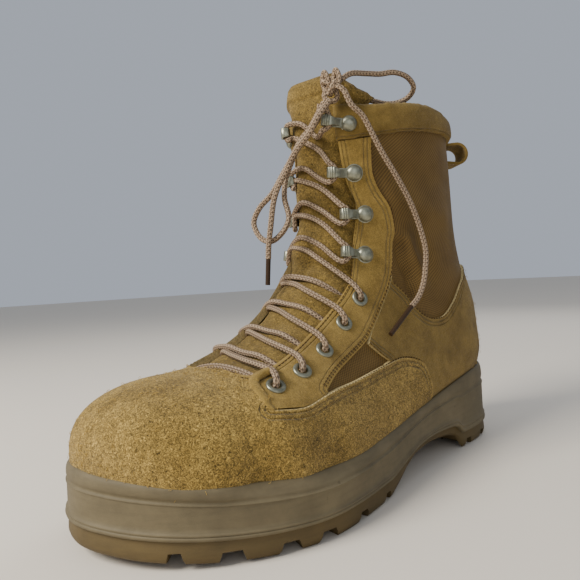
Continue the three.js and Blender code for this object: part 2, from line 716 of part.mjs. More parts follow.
// One strand over the throat, from a fastener on one side to one on the other. It ends over the
// flange of an eyelet or beside the strap of a hook.
function strand(from, to, side) {
  const height = LACE / 2 + LACE_LIFT;
  const inset = (x, fastener) => {
    const { across } = overLast(fastener.station, x, height);
    return x - Math.sign(x) * across.x * fastener.laceEnd;
  };
  const start = inset(side > 0 ? from.lateral : from.medial, from);
  const end = inset(side > 0 ? to.medial : to.lateral, to);
  const points = [0, 0.2, 0.4, 0.6, 0.8, 1].map((share) => {
    const lift = height + mix(from.base, to.base, share)
      + from.top * Math.max(1 - 2 * share, 0) ** 2 + to.top * Math.max(2 * share - 1, 0) ** 2;
    const station = mix(from.station, to.station, share);
    const { place, normal, across } = overLast(station, mix(start, end, share), lift);
    const shift = from === to ? -from.laceSide : mix(from.laceSide, -to.laceSide, share);
    return place.addScaledVector(across.cross(normal).negate(), shift);
  });
  return lace(points, 5, 6);
}

// Crossing of the lace between two pairs of fasteners, its two strands joined where they cross
const crossing = (low, high) => strand(low, high, 1).add(strand(low, high, -1));

// Free laces, as routes in millimetres, chosen by hand
const vectors = (points) => points.map(([x, y, z]) => new THREE.Vector3(x, y, z));
const KNOT = new THREE.Vector3(22, -113.5, 236);
const KNOT_SIZE = [8.5, 7, 10.5];

const loopLongRoute = vectors([
  [18, -118.9, 227.5], [14, -118, 219], [0, -119, 210], [-8, -121, 199], [-12, -125, 190], [-18, -130, 178],
  [-26, -134, 170], [-30, -136, 161], [-24, -136, 151], [-15, -135, 148], [-6, -133, 153], [-2, -131, 161],
  [-5, -131, 174], [-6, -128, 186], [-2, -125, 198], [4, -124, 207], [13, -124, 213], [22, -119.8, 227.4],
]);
const loopBackRoute = vectors([
  [25.5, -107.8, 242.2], [27, -100, 247], [29, -88, 249], [32, -78, 250], [36, -68, 252], [39, -58, 250],
  [39, -52, 245], [34, -50, 241], [29, -53, 238], [25, -62, 236], [23, -75, 236], [21, -88, 237],
  [20, -96, 241], [19, -102, 247], [19.2, -108.5, 244.3],
]);
const endLateralRoute = vectors([
  [31.8, -112.1, 233.2], [34, -109, 225], [37, -103, 219], [39, -98, 210], [41, -92, 199], [44, -83, 185],
  [46, -72, 169], [47, -64, 153], [48, -60, 138], [48, -61, 127], [48, -64, 117], [48, -70, 108.5],
  [48, -78, 103],
]);
const endFrontRoute = vectors([
  [25.9, -118.7, 227.9], [23, -127, 217], [18, -129, 209], [10, -130, 203], [3, -131, 196], [0, -133, 189], [-4, -136, 181],
  [-7, -138, 172], [-10, -139, 157], [-13, -139, 145], [-14, -139, 137],
]);
const agletLateralRoute = vectors([[48, -78, 103], [48, -89, 95.5], [48, -100, 88]]);
const agletFrontRoute = vectors([[-14, -139, 137], [-15, -139, 129], [-16, -139, 121]]);

// Route shortened at its end, so that two pieces on it keep a gap
function endingShort(route, gap) {
  const points = route.map((point) => point.clone());
  const last = points.length - 1;
  const back = points[last - 1].clone().sub(points[last]).normalize();
  points[last].addScaledVector(back, gap);
  return points;
}

function laceKnot() {
  const geometry = new THREE.SphereGeometry(1, 10, 7).scale(...KNOT_SIZE).translate(KNOT.x, KNOT.y, KNOT.z);
  return solidOf(geometry).subtract(form(UPPER_OUT - WALL));
}

// Materials
const finish = (color, roughness, metalness = 0) => new THREE.MeshStandardMaterial({ color, roughness, metalness });
const suede = finish(0xa0824b, 0.95);
const nylon = finish(0x7d5f37, 0.8);
const wallRubber = finish(0x786c55, 0.7);
const treadRubber = finish(0x735832, 0.8);
const board = finish(0x8f7d5c, 0.9);
const metal = finish(0x8f8f7c, 0.4, 0.8);
const cord = finish(0xa58a72, 0.85);

const boot = new THREE.Group();

function geometryOf(solid) {
  const mesh = solid.getMesh();
  const geometry = new THREE.BufferGeometry();
  geometry.setAttribute('position', new THREE.BufferAttribute(Float32Array.from(mesh.vertProperties), 3));
  geometry.setIndex(new THREE.BufferAttribute(Uint32Array.from(mesh.triVerts), 1));
  geometry.computeVertexNormals();
  return geometry;
}

function addPiece(name, solid, material) {
  const mesh = new THREE.Mesh(geometryOf(solid), material);
  mesh.name = name;
  boot.add(mesh);
}

addPiece('outsole', outsole(), treadRubber);
addPiece('midsole', midsole(), wallRubber);
addPiece('insole', insole(), board);
addPiece('upper', upper(), nylon);
addPiece('tongue', tongue(), suede);
addPiece('vamp', vamp(), suede);
addPiece('counter', counter(), suede);
addPiece('eyestay_lateral', eyestay(lateralSide, 1), suede);
addPiece('eyestay_medial', eyestay(medialSide, -1), suede);
addPiece('collar_cuff', collarCuff(), suede);
addPiece('backstay', backstay(), suede);
addPiece('pull_loop', pullLoop(), suede);

fasteners.forEach((fastener, k) => {
  const isEyelet = k < EYELETS;
  for (const [sideName, side] of [['lateral', 1], ['medial', -1]]) {
    const name = isEyelet ? `eyelet_${sideName}_${k + 1}` : `hook_${sideName}_${k + 1 - EYELETS}`;
    const frame = seat(fastener, side, 0);
    addPiece(name, isEyelet ? eyelet(frame) : hook(frame), metal);
  }
});

addPiece('lace_bar', strand(fasteners[0], fasteners[0], 1), cord);
for (let k = 1; k < fasteners.length; k += 1) {
  addPiece(`lace_crossing_${k}`, crossing(fasteners[k - 1], fasteners[k]), cord);
}
addPiece('lace_knot', laceKnot(), cord);
addPiece('lace_loop_long', lace(loopLongRoute, 26, 8), cord);
addPiece('lace_loop_back', lace(loopBackRoute, 18, 8), cord);
addPiece('lace_end_lateral', lace(endingShort(endLateralRoute, GAP), 18, 8), cord);
addPiece('lace_end_front', lace(endingShort(endFrontRoute, GAP), 12, 8), cord);
addPiece('aglet_lateral', lace(agletLateralRoute, 1, 8), cord);
addPiece('aglet_front', lace(agletFrontRoute, 1, 8), cord);

export default boot;
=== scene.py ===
"""Looks of a left combat boot in rough-out suede and ballistic nylon on a cupped rubber sole."""

import math
import random

import bmesh
import bpy
import numpy as np
from bpy.props import FloatProperty, FloatVectorProperty, IntProperty, PointerProperty
from mathutils import Matrix, Vector
from mathutils.bvhtree import BVHTree
from mathutils.kdtree import KDTree


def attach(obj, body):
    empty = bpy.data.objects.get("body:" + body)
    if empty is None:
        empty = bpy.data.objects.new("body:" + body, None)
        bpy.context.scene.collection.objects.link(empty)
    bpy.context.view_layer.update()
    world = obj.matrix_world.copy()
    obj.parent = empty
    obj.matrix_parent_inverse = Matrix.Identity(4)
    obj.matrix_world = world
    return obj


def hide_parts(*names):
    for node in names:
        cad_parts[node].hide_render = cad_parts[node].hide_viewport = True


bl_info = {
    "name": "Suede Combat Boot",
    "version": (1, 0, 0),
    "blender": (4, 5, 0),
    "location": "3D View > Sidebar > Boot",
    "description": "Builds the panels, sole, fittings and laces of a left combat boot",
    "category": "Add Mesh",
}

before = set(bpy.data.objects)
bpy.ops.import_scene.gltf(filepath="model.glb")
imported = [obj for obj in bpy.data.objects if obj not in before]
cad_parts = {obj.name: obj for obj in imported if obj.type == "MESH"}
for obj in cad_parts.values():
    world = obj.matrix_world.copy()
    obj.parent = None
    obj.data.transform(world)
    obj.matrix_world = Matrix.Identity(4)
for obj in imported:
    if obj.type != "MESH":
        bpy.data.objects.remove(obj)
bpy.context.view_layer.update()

# Sizes in millimetres; finished meshes are in metres
MM = 0.001
LENGTH = 312
BALL_WIDTH = 129
HEEL_CENTRE = 45
OUTSOLE = 10
FOOTBED = 7.5
RIM_HEIGHT = 54
TOE_SPRING = 5.7
ARCH_RISE = 13
WAIST_STEP = 3
NOTCH_REACH = 23
NOTCH_HEIGHT = 5.2
TOE_END = 4
INSTEP_HEIGHT = 124.5
SHAFT_HEIGHT = 100
WALL = 2.5
OVERLAY = 1.6
CUFF_PAD = 1.6
TONGUE_PAD = 4.5
INSOLE = 3.6
GAP = 0.3
TONGUE_LAP = 9
EYELET_RADIUS = 5.2
EYELET_HOLE = 2.4
HOOK_DOME = 4.9
LOOP_WIDTH = 20
LOOP_REACH = 35
LOOP_RISE = 17
LOOP_WALL = 2
LOOP_TURN = 35

# Levels of the layers, measured from the outside of the overlays
UPPER_OUT = -(OVERLAY + GAP)
UPPER_IN = UPPER_OUT - WALL
TONGUE_OUT = UPPER_IN - GAP
FOOT_BASE = OUTSOLE + FOOTBED

THROAT_START = 0.7
THROAT_EASE = 0.4
THROAT_REACH = 34
FAR_FROM_EDGE = 0.02
SKIN = 0.05
PIN_RADIUS = EYELET_HOLE + 0.5
PIN_LENGTH = 16
SLOPE_STEP = 0.05

# Stitches: the share of the pitch that each fills, its half width and height, and its rise
STITCH_SPAN = (0.14, 0.86)
STITCH_SIZE = (0.36, 0.34)
STITCH_RISE = 0.12

# How finely the surfaces are meshed
AROUND = 176
CAP_RINGS = 24
RINGS = 150
SOLE_AROUND = 360


def srgb(code):
    """Linear colour of an sRGB hex value"""
    channels = [int(code[k:k + 2], 16) / 255 for k in (0, 2, 4)]
    return [c / 12.92 if c <= 0.04045 else ((c + 0.055) / 1.055) ** 2.4 for c in channels]


# Curves and tables

def table(columns, rows):
    """Named columns of a table of rows"""
    return {name: np.array([row[k] for row in rows], float) for k, name in enumerate(columns)}


def curve(xs, ys):
    """Smooth curve through a column that never overshoots between its rows"""
    xs, ys = np.asarray(xs, float), np.asarray(ys, float)
    slope = np.diff(ys) / np.diff(xs)
    tangent = np.zeros_like(ys)
    tangent[0], tangent[-1] = slope[0], slope[-1]
    before, after = slope[:-1], slope[1:]
    same = before * after > 0
    tangent[1:-1] = np.where(same, 2 * before * after / np.where(same, before + after, 1), 0)

    def at(x):
        k = np.clip(np.searchsorted(xs, x, side="right") - 1, 0, len(xs) - 2)
        width = xs[k + 1] - xs[k]
        u = np.clip((x - xs[k]) / width, 0, 1)
        rise = ys[k] * (1 + 2 * u) * (1 - u) ** 2 + ys[k + 1] * u * u * (3 - 2 * u)
        return rise + width * (tangent[k] * u * (1 - u) ** 2 - tangent[k + 1] * u * u * (1 - u))

    return at


def curves(rows):
    """Smooth curves through the columns of a table, over its first column"""
    columns = np.array(rows, float).T
    return [curve(columns[0], column) for column in columns[1:]]


def rounded_line(points, steps, closed=False):
    """Centripetal curve through points, with the same number of steps on each span"""
    points = np.asarray(points, float)
    count = len(points)
    line = []
    for k in range(count if closed else count - 1):
        start, end = points[k], points[(k + 1) % count]
        before = points[k - 1] if closed or k > 0 else 2 * start - end
        after = points[(k + 2) % count] if closed or k < count - 2 else 2 * end - start
        d0, d1, d2 = (max(np.linalg.norm(b - a), 1e-9) ** 0.5
                      for a, b in ((before, start), (start, end), (end, after)))
        leave = d1 * ((start - before) / d0 - (end - before) / (d0 + d1) + (end - start) / d1)
        arrive = d1 * ((end - start) / d1 - (after - start) / (d1 + d2) + (after - end) / d2)
        for u in np.arange(steps) / steps:
            line.append(start * (1 + 2 * u) * (1 - u) ** 2 + end * u * u * (3 - 2 * u)
                        + leave * u * (1 - u) ** 2 - arrive * u * u * (1 - u))
    if not closed:
        line.append(points[-1])
    return np.array(line)


def spaced(line, pitch=1.0, count=None):
    """Places at an even pitch along a line, or at a count of even steps"""
    line = np.array([list(place) for place in line], float)
    run = np.concatenate([[0], np.cumsum(np.linalg.norm(np.diff(line, axis=0), axis=1))])
    count = count or max(int(round(run[-1] / pitch)), 1)
    at = np.linspace(0, run[-1], count + 1)
    return np.stack([np.interp(at, run, line[:, k]) for k in range(line.shape[1])], axis=1)


def smooth_step(value):
    value = np.clip(value, 0, 1)
    return value * value * (3 - 2 * value)


def y_of(along):
    return HEEL_CENTRE - np.asarray(along) * LENGTH


def along_of(y):
    return (HEEL_CENTRE - np.asarray(y)) / LENGTH


def z_of(up):
    """Up is 0 on the footbed at the ball, 1 at the bend of the instep and 2 at the collar"""
    up = np.asarray(up, float)
    return FOOT_BASE + np.minimum(up, 1) * INSTEP_HEIGHT + np.maximum(up - 1, 0) * SHAFT_HEIGHT


# The last

LAST_ROWS = table(
    ["front_along", "front_up", "back_along", "back_up", "lateral", "medial", "widest", "front_power",
    "back_power"],
    [
        [0.821, 0.478, 0.821, 0.012, 0.425, 0.434, -0.30, 2.4, 3.2],
        [0.769, 0.502, 0.737, 0.000, 0.488, 0.426, -0.42, 2.2, 3.4],
        [0.705, 0.550, 0.622, -0.004, 0.488, 0.395, -0.48, 2.1, 3.4],
        [0.638, 0.647, 0.487, 0.020, 0.434, 0.357, -0.50, 2.0, 3.2],
        [0.580, 0.767, 0.340, 0.076, 0.380, 0.333, -0.45, 2.0, 3.0],
        [0.542, 0.896, 0.199, 0.124, 0.357, 0.333, -0.38, 2.0, 2.9],
        [0.522, 1.000, 0.077, 0.157, 0.349, 0.333, -0.32, 2.1, 2.7],
        [0.513, 1.120, 0.013, 0.325, 0.341, 0.326, -0.25, 2.1, 2.5],
        [0.506, 1.260, 0.008, 0.534, 0.333, 0.326, -0.15, 2.1, 2.3],
        [0.503, 1.420, 0.042, 0.791, 0.326, 0.326, -0.05, 2.1, 2.2],
        [0.502, 1.620, 0.071, 1.040, 0.333, 0.333, 0.00, 2.2, 2.2],
        [0.503, 1.850, 0.087, 1.480, 0.341, 0.341, 0.00, 2.2, 2.2],
        [0.506, 1.990, 0.112, 2.010, 0.349, 0.349, 0.00, 2.2, 2.2],
        [0.519, 2.480, 0.135, 2.480, 0.349, 0.349, 0.00, 2.2, 2.2],
    ],
)
LAST_END = len(LAST_ROWS["widest"]) - 1
LAST = {name: curve(np.arange(LAST_END + 1), column) for name, column in LAST_ROWS.items()}
CAP_POWER = 2.05
CAP_TIP_UP = 0.42
CAP_DROOP = 0.8
CAP_DRIFT = -0.07
CAP_TURN = 1.5


def section(station):
    """Sections of the last at stations: below 0 lies the toe cap, whose tip is at -1"""
    station = np.asarray(station, float)
    at = {name: line(np.maximum(station, 0)) for name, line in LAST.items()}
    reach = np.sin(np.clip(-station, 0, 1) * np.pi / 2)
    shrink = np.maximum(1 - reach ** CAP_POWER, 0) ** (1 / CAP_POWER)
    front_y, back_y = y_of(at["front_along"]), y_of(at["back_along"])
    front_z, back_z = z_of(at["front_up"]), z_of(at["back_up"])
    tip_y = HEEL_CENTRE - LENGTH + TOE_END
    tip_z = back_z + (front_z - back_z) * CAP_TIP_UP
    drift = CAP_DRIFT * BALL_WIDTH * reach ** CAP_TURN
    return {
        "front_y": front_y + (tip_y - front_y) * reach,
        "back_y": back_y + (tip_y - back_y) * reach,
        "front_z": tip_z + (front_z - tip_z) * shrink ** CAP_DROOP,
        "back_z": tip_z + (back_z - tip_z) * shrink ** CAP_DROOP,
        "lateral": at["lateral"] * BALL_WIDTH * shrink + drift,
        "medial": -at["medial"] * BALL_WIDTH * shrink + drift,
        "widest": at["widest"],
        "front_power": at["front_power"],
        "back_power": at["back_power"],
    }


def section_point(at, cosine, sine):
    """Points on sections: cosine 1 is the front or top, sine 1 the lateral side"""
    power = np.where(cosine >= 0, at["front_power"], at["back_power"])
    swing = np.abs(cosine) ** (2 / power)
    widest = at["widest"]
    along = np.where(cosine >= 0, widest + (1 - widest) * swing, widest - (1 + widest) * swing)
    half = (at["lateral"] - at["medial"]) / 2
    x = (at["lateral"] + at["medial"]) / 2 + np.sign(sine) * np.abs(sine) ** (2 / power) * half
    share = (along + 1) / 2
    y = at["back_y"] + (at["front_y"] - at["back_y"]) * share
    z = at["back_z"] + (at["front_z"] - at["back_z"]) * share
    return np.stack(np.broadcast_arrays(x, y, z), axis=-1)


def last_grid(stations):
    """Rings of the last, evenly spaced around from the front ridge by the lateral side"""
    turn = np.linspace(0, np.pi, 400)
    grid = []
    for station in stations:
        at = section(station)
        lateral, medial = (
            spaced(section_point(at, np.cos(angles), side * np.sin(angles)), count=AROUND // 2)
            for side, angles in ((1, turn), (-1, turn[::-1])))
        grid.append(np.concatenate([lateral[:-1], medial]))
    return np.array(grid)


def grid_normals(grid):
    """Outward normals of a grid of rings whose first and last columns are one"""
    ring = grid[:, :-1]
    around = np.roll(ring, -1, axis=1) - np.roll(ring, 1, axis=1)
    along = np.empty_like(ring)
    along[1:-1] = ring[2:] - ring[:-2]
    along[0], along[-1] = ring[1] - ring[0], ring[-1] - ring[-2]
    normal = np.cross(around, along)
    normal /= np.maximum(np.linalg.norm(normal, axis=2, keepdims=True), 1e-9)
    return np.concatenate([normal, normal[:, :1]], axis=1)


CAP_TURNS = np.linspace(0.02, np.pi / 2, CAP_RINGS, endpoint=False)
STATIONS = np.concatenate([
    -(2 / np.pi) * np.arcsin(np.maximum(1 - np.sin(CAP_TURNS) ** CAP_POWER, 0) ** (1 / CAP_POWER)),
    np.linspace(0, LAST_END, RINGS),
])
BARE = last_grid(STATIONS)
BARE_NORMALS = grid_normals(BARE)

# Throat: station, and half widths of the opening to both sides as shares of the ball width
THROAT = dict(zip(("lateral", "medial"), curves([
    [0.70, 0.085, 0.060], [0.85, 0.175, 0.130], [1.15, 0.252, 0.186], [2.00, 0.244, 0.186],
    [3.00, 0.221, 0.171], [4.00, 0.205, 0.171], [5.00, 0.202, 0.171], [6.60, 0.184, 0.171],
    [8.00, 0.190, 0.178], [9.00, 0.163, 0.155], [10.0, 0.151, 0.147], [11.0, 0.136, 0.140],
    [12.0, 0.186, 0.186], [13.0, 0.202, 0.202],
])))

# The slack lace lets the medial flap stand off the tongue: station and lift
FLAP_LIFT = curves([
    [0.7, 0], [1.31, 3], [2.15, 5.5], [3.0, 7], [3.93, 8.5], [4.86, 8.5], [6.6, 4], [8.0, 2], [9.45, 1],
    [10.66, 0], [12, 0],
])[0]
FLAP_FALL = 30
TONGUE_BULGE = 5.5

# Creases as lines of places [along, up], with their side, depth and width
CREASES = [
    ([[0.372, 0.99], [0.366, 0.92], [0.350, 0.85], [0.346, 0.76]], 1, -3.4, 4),
    ([[0.350, 1.03], [0.340, 0.96], [0.323, 0.88], [0.318, 0.79]], 1, 2.8, 5),
    ([[0.325, 1.12], [0.312, 1.02], [0.290, 0.93], [0.285, 0.84]], 1, -1.8, 6),
    ([[0.39, 1.30], [0.31, 1.22], [0.22, 1.20]], 1, 1.4, 8),
    ([[0.40, 1.46], [0.30, 1.42], [0.20, 1.44]], 1, -1.2, 9),
    ([[0.40, 1.12], [0.32, 1.00], [0.22, 0.95]], -1, -2.0, 8),
    ([[0.39, 1.32], [0.28, 1.24]], -1, 1.4, 9),
    ([[0.30, 0.50], [0.20, 0.44], [0.12, 0.52]], 1, -0.7, 10),
    ([[0.62, 0.36], [0.68, 0.24], [0.70, 0.14]], 1, -0.9, 8),
    ([[0.74, 0.44], [0.72, 0.30], [0.73, 0.16]], 1, 0.6, 9),
    ([[0.62, 0.36], [0.68, 0.24], [0.70, 0.14]], -1, -0.9, 8),
]


def ridge_place(station, x):
    """Places of the last over its front ridge, at sideways distances x"""
    here = section(station)
    middle, half = (here["lateral"] + here["medial"]) / 2, (here["lateral"] - here["medial"]) / 2
    share = np.minimum(np.abs(x - middle) / np.maximum(half, 1), 0.97)
    sine = np.sign(x - middle) * share ** (here["front_power"] / 2)
    return section_point(here, np.sqrt(1 - sine * sine), sine)


def relief(station, points):
    """Height of creases and of the standing flap at points of the last"""
    x, y, z = points[..., 0], points[..., 1], points[..., 2]
    height = np.zeros(x.shape)
    for line, side, depth, width in CREASES:
        places = spaced([[float(y_of(a)), float(z_of(u))] for a, u in line], 3)
        far = np.hypot(y[..., None] - places[:, 0], z[..., None] - places[:, 1]).min(axis=-1)
        height += depth * np.exp(-(far / width) ** 2) * smooth_step(side * x / 12)
    edge = THROAT["medial"](station) * BALL_WIDTH
    far = np.linalg.norm(points - ridge_place(station, -edge), axis=-1)
    beyond = np.clip(far / FLAP_FALL, 0, 1)
    on_ridge = smooth_step((station - THROAT_START) / THROAT_EASE) * smooth_step(-x / 6)
    return height + FLAP_LIFT(station) * (1 - smooth_step(beyond)) * on_ridge


def tongue_lift(station, x):
    """The tongue is sewn to the standing flap and rises with it towards the medial side"""
    share = x / (THROAT["medial"](station) * BALL_WIDTH)
    risen = FLAP_LIFT(station) * smooth_step(-share) * smooth_step((station - THROAT_START) / THROAT_EASE)
    bulge = TONGUE_BULGE * math.exp(-((share + 0.75) / 0.45) ** 2) * smooth_step((station - 5.0) / 1.4)
    return float(risen + bulge)


DRESSED = BARE + BARE_NORMALS * relief(STATIONS[:, None], BARE)[..., None]
DRESSED_NORMALS = grid_normals(DRESSED)


def over_last(station, x, height, dressed=False):
    """Place over the last and its axes: across, along and away from the boot"""
    along = ridge_place(station + SLOPE_STEP, x) - ridge_place(station - SLOPE_STEP, x)
    across = ridge_place(station, x + 1) - ridge_place(station, x - 1)
    normal = np.cross(across, along)
    normal /= np.linalg.norm(normal)
    across /= np.linalg.norm(across)
    place = ridge_place(station, x)
    if dressed:
        place = place + normal * relief(np.array(station), place)
    place = place + normal * height
    return Vector(place), Vector(across), Vector(np.cross(normal, across)), Vector(normal)


# Mesh helpers

def wrapped(points, uvs=None):
    """Grid of cells whose vertices are moved to places: rows along, columns across"""
    rows, columns = points.shape[0] - 1, points.shape[1] - 1
    bm = bmesh.new()
    layer = bm.loops.layers.uv.new("UVMap")
    bmesh.ops.create_grid(bm, x_segments=columns, y_segments=rows, size=1, calc_uvs=True)
    for vert, place in zip(bm.verts, points.reshape(-1, 3)):
        vert.co = place
    if uvs is not None:
        bm.verts.index_update()
        flat = uvs.reshape(-1, 2)
        for face in bm.faces:
            for loop in face.loops:
                loop[layer].uv = flat[loop.vert.index]
    return bm


def surface_uvs(grid):
    """Real distances over a grid, in metres: around from its back, and along it"""
    around = np.cumsum(np.linalg.norm(np.diff(grid, axis=1), axis=2), axis=1)
    around = np.concatenate([np.zeros((len(grid), 1)), around], axis=1)
    around -= around[:, around.shape[1] // 2][:, None]
    middle = grid[:, grid.shape[1] // 4]
    along = np.concatenate([[0], np.cumsum(np.linalg.norm(np.diff(middle, axis=0), axis=1))])
    return np.stack([around, np.broadcast_to(along[:, None], around.shape)], axis=-1) * MM


def split_ngons(bm):
    bmesh.ops.triangulate(bm, faces=[face for face in bm.faces if len(face.verts) > 4])


def closed_up(bm):
    """Merges doubled vertices, fills open ends and turns the faces out"""
    bmesh.ops.remove_doubles(bm, verts=bm.verts, dist=0.01)
    bmesh.ops.holes_fill(bm, edges=[e for e in bm.edges if e.is_boundary], sides=0)
    bmesh.ops.recalc_face_normals(bm, faces=bm.faces)
    return bm


def hoops(rings):
    """Grid of rings, each closed by its first point"""
    points = np.array([[list(place) for place in ring] for ring in rings], float)
    return np.concatenate([points, points[:, :1]], axis=1)


def prism(corners, way):
    """Block between a face and the same face moved"""
    bm = bmesh.new()
    face = bm.faces.new([bm.verts.new(corner) for corner in corners])
    grown = bmesh.ops.extrude_face_region(bm, geom=[face])
    moved = [item for item in grown["geom"] if isinstance(item, bmesh.types.BMVert)]
    bmesh.ops.translate(bm, verts=moved, vec=way)
    bmesh.ops.recalc_face_normals(bm, faces=bm.faces)
    split_ngons(bm)
    return bm


def turned(*axes):
    """Rotation that lays the x, y and z axes along others"""
    return Matrix(axes).transposed().to_4x4()


def as_object(name, bm, material=None):
    """Object in millimetres from a bmesh, for cutting and joining"""
    mesh = bpy.data.meshes.new(name)
    bm.to_mesh(mesh)
    bm.free()
    if material:
        mesh.materials.append(material)
    piece = bpy.data.objects.new(name, mesh)
    bpy.context.scene.collection.objects.link(piece)
    return piece


def form(name, offset, material):
    """Closed solid of the dressed last grown outwards by an offset"""
    places = DRESSED + DRESSED_NORMALS * offset
    places[0] = places[0].mean(axis=0)
    return as_object(name, closed_up(wrapped(places, surface_uvs(DRESSED))), MATERIALS[material])


def side_block(name, outline, x_from, x_to):
    """Block over a side outline, given as places [along, up]"""
    corners = [(x_from, float(y_of(a)), float(z_of(u))) for a, u in outline]
    return as_object(name, prism(corners, (x_to - x_from, 0, 0)), MATERIALS["edge"])


def carve(piece, first, *others, within=None):
    """Takes a solid out of a piece, keeps what lies within another, takes out the others,
    and keeps the result in the piece's mesh"""
    steps = [("DIFFERENCE", first)]
    if within:
        steps.append(("INTERSECT", within))
    steps += [("DIFFERENCE", other) for other in others]
    for how, tool in steps:
        cut = piece.modifiers.new(how.lower(), "BOOLEAN")
        cut.operation = how
        cut.object = tool
        cut.solver = "MANIFOLD"
        cut.material_mode = "TRANSFER"
    graph = bpy.context.evaluated_depsgraph_get()
    done = bpy.data.meshes.new_from_object(piece.evaluated_get(graph))
    piece.modifiers.clear()
    old = piece.data
    piece.data = done
    bpy.data.meshes.remove(old)
    for _, tool in steps:
        mesh = tool.data
        bpy.data.objects.remove(tool)
        bpy.data.meshes.remove(mesh)
    return piece


def finish_piece(piece, nodes, sharp=38):
    """Scales a piece to metres, shades it and ties it to the frame"""
    bm = bmesh.new()
    bm.from_mesh(piece.data)
    bm.transform(Matrix.Scale(MM, 4))
    limit = math.radians(sharp)
    for face in bm.faces:
        face.smooth = True
    for edge in bm.edges:
        edge.smooth = len(edge.link_faces) != 2 or edge.calc_face_angle(0) < limit
    bm.to_mesh(piece.data)
    bm.free()
    if "edge_distance" not in piece.data.attributes:
        attribute = piece.data.attributes.new("edge_distance", "FLOAT", "POINT")
        attribute.data.foreach_set("value", [FAR_FROM_EDGE] * len(piece.data.vertices))
    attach(piece, "root")
    if nodes:
        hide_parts(*nodes)
    return piece


def make_piece(name, bm, material, nodes, sharp=38):
    """Finished piece from a bmesh in millimetres"""
    return finish_piece(as_object(name, bm, MATERIALS[material]), nodes, sharp)


def mark_edges(piece, lines):
    """Stores how far each vertex lies from the nearest of some lines, in metres"""
    places = [place for line in lines for place in line]
    tree = KDTree(len(places))
    for k, place in enumerate(places):
        tree.insert(place, k)
    tree.balance()
    attribute = piece.data.attributes.new("edge_distance", "FLOAT", "POINT")
    values = [tree.find(vert.co)[2] * MM for vert in piece.data.vertices]
    attribute.data.foreach_set("value", values)


def tube(path, radius, sides=10):
    """Closed round tube along a path, whose rings are carried along it without twist"""
    path = [Vector(place) for place in path]
    ahead, behind = path[1:] + path[-1:], path[:1] + path[:-1]
    across = (ahead[0] - behind[0]).normalized().orthogonal().normalized()
    rings, runs = [], []
    for place, after, before in zip(path, ahead, behind):
        tangent = (after - before).normalized()
        across = (across - tangent * across.dot(tangent)).normalized()
        other = tangent.cross(across)
        runs.append((place - before).length + (runs[-1] if runs else 0))
        rings.append([list(place + radius * (math.cos(a) * across + math.sin(a) * other))
                      for a in np.linspace(0, 2 * math.pi, sides + 1)])
    uvs = np.stack(np.meshgrid(np.linspace(0, 1, sides + 1), np.array(runs) * MM), axis=-1)
    return closed_up(wrapped(np.array(rings), uvs))


def band(path, corners, wall):
    """Closed strip along rows of run, height and half width, over the corners of its section"""
    rings = []
    for k, (u, w, half) in enumerate(path):
        ahead, behind = path[min(k + 1, len(path) - 1)], path[max(k - 1, 0)]
        way = Vector((ahead[0] - behind[0], ahead[1] - behind[1])).normalized() * wall / 2
        rings.append([(u - way.y * level, across * half, w + way.x * level) for across, level in corners])
    return closed_up(wrapped(hoops(rings)))


def joined(parts):
    """One bmesh of several"""
    whole = bmesh.new()
    for part in parts:
        mesh = bpy.data.meshes.new("part")
        part.to_mesh(mesh)
        part.free()
        whole.from_mesh(mesh)
        bpy.data.meshes.remove(mesh)
    return whole


# Side outlines of the panels, as places [along, up]
CUFF_TOP = rounded_line(
    [[0.60, 1.86], [0.478, 1.867], [0.439, 1.862], [0.388, 1.882], [0.308, 1.903], [0.253, 1.895],
    [0.160, 1.870],
     [-0.05, 1.835]], 6)
CUFF_BOTTOM = rounded_line(
    [[0.60, 1.64], [0.484, 1.65], [0.436, 1.67], [0.362, 1.71], [0.234, 1.75], [-0.05, 1.75]], 6)
WING_TOP = rounded_line(
    [[0.779, 0.365], [0.718, 0.349], [0.660, 0.373], [0.580, 0.390], [0.481, 0.422], [0.420, 0.438],
    [0.362, 0.398],
     [0.340, 0.317], [0.330, 0.237], [0.340, 0.120]], 8)
STAY_BACK = rounded_line(
    [[0.657, 0.390], [0.615, 0.438], [0.513, 0.542], [0.487, 0.590], [0.436, 0.719], [0.403, 0.846],
    [0.390, 1.030],
     [0.386, 1.080], [0.394, 1.210], [0.417, 1.330], [0.433, 1.450], [0.437, 1.600], [0.436, 1.670]], 6)
WINDOW = rounded_line([[0.506, 0.530], [0.485, 0.480], [0.462, 0.436]], 4)
COUNTER_TOP = rounded_line(
    [[0.401, 0.815], [0.368, 0.737], [0.353, 0.682], [0.324, 0.628], [0.295, 0.605], [0.260, 0.609],
    [0.215, 0.679],
     [0.168, 0.790], [0.096, 0.888], [-0.05, 0.910]], 8)
TONGUE_TOP = np.array(
    [[0.62, 2.08], [0.493, 2.07], [0.484, 2.03], [0.462, 1.98], [0.434, 1.93], [0.397, 1.88], [0.321, 1.75],
     [0.25, 1.55]])
BOTTOM_EDGE = np.array(
    [[1.05, 0.125], [0.96, 0.095], [0.9, 0.05],
     *[[a, u] for a, u in zip(LAST_ROWS["back_along"][:7], LAST_ROWS["back_up"][:7])], [-0.05, 0.19]])

FASTENERS = [
    (1.31, 0.336), (2.15, 0.327), (2.99, 0.294), (3.93, 0.258), (4.86, 0.244),
    (6.64, 0.218), (8.23, 0.214), (9.45, 0.196), (10.66, 0.195),
]
EYELETS = 5
HOOK_TURNS = (24, 24, 16, 6)


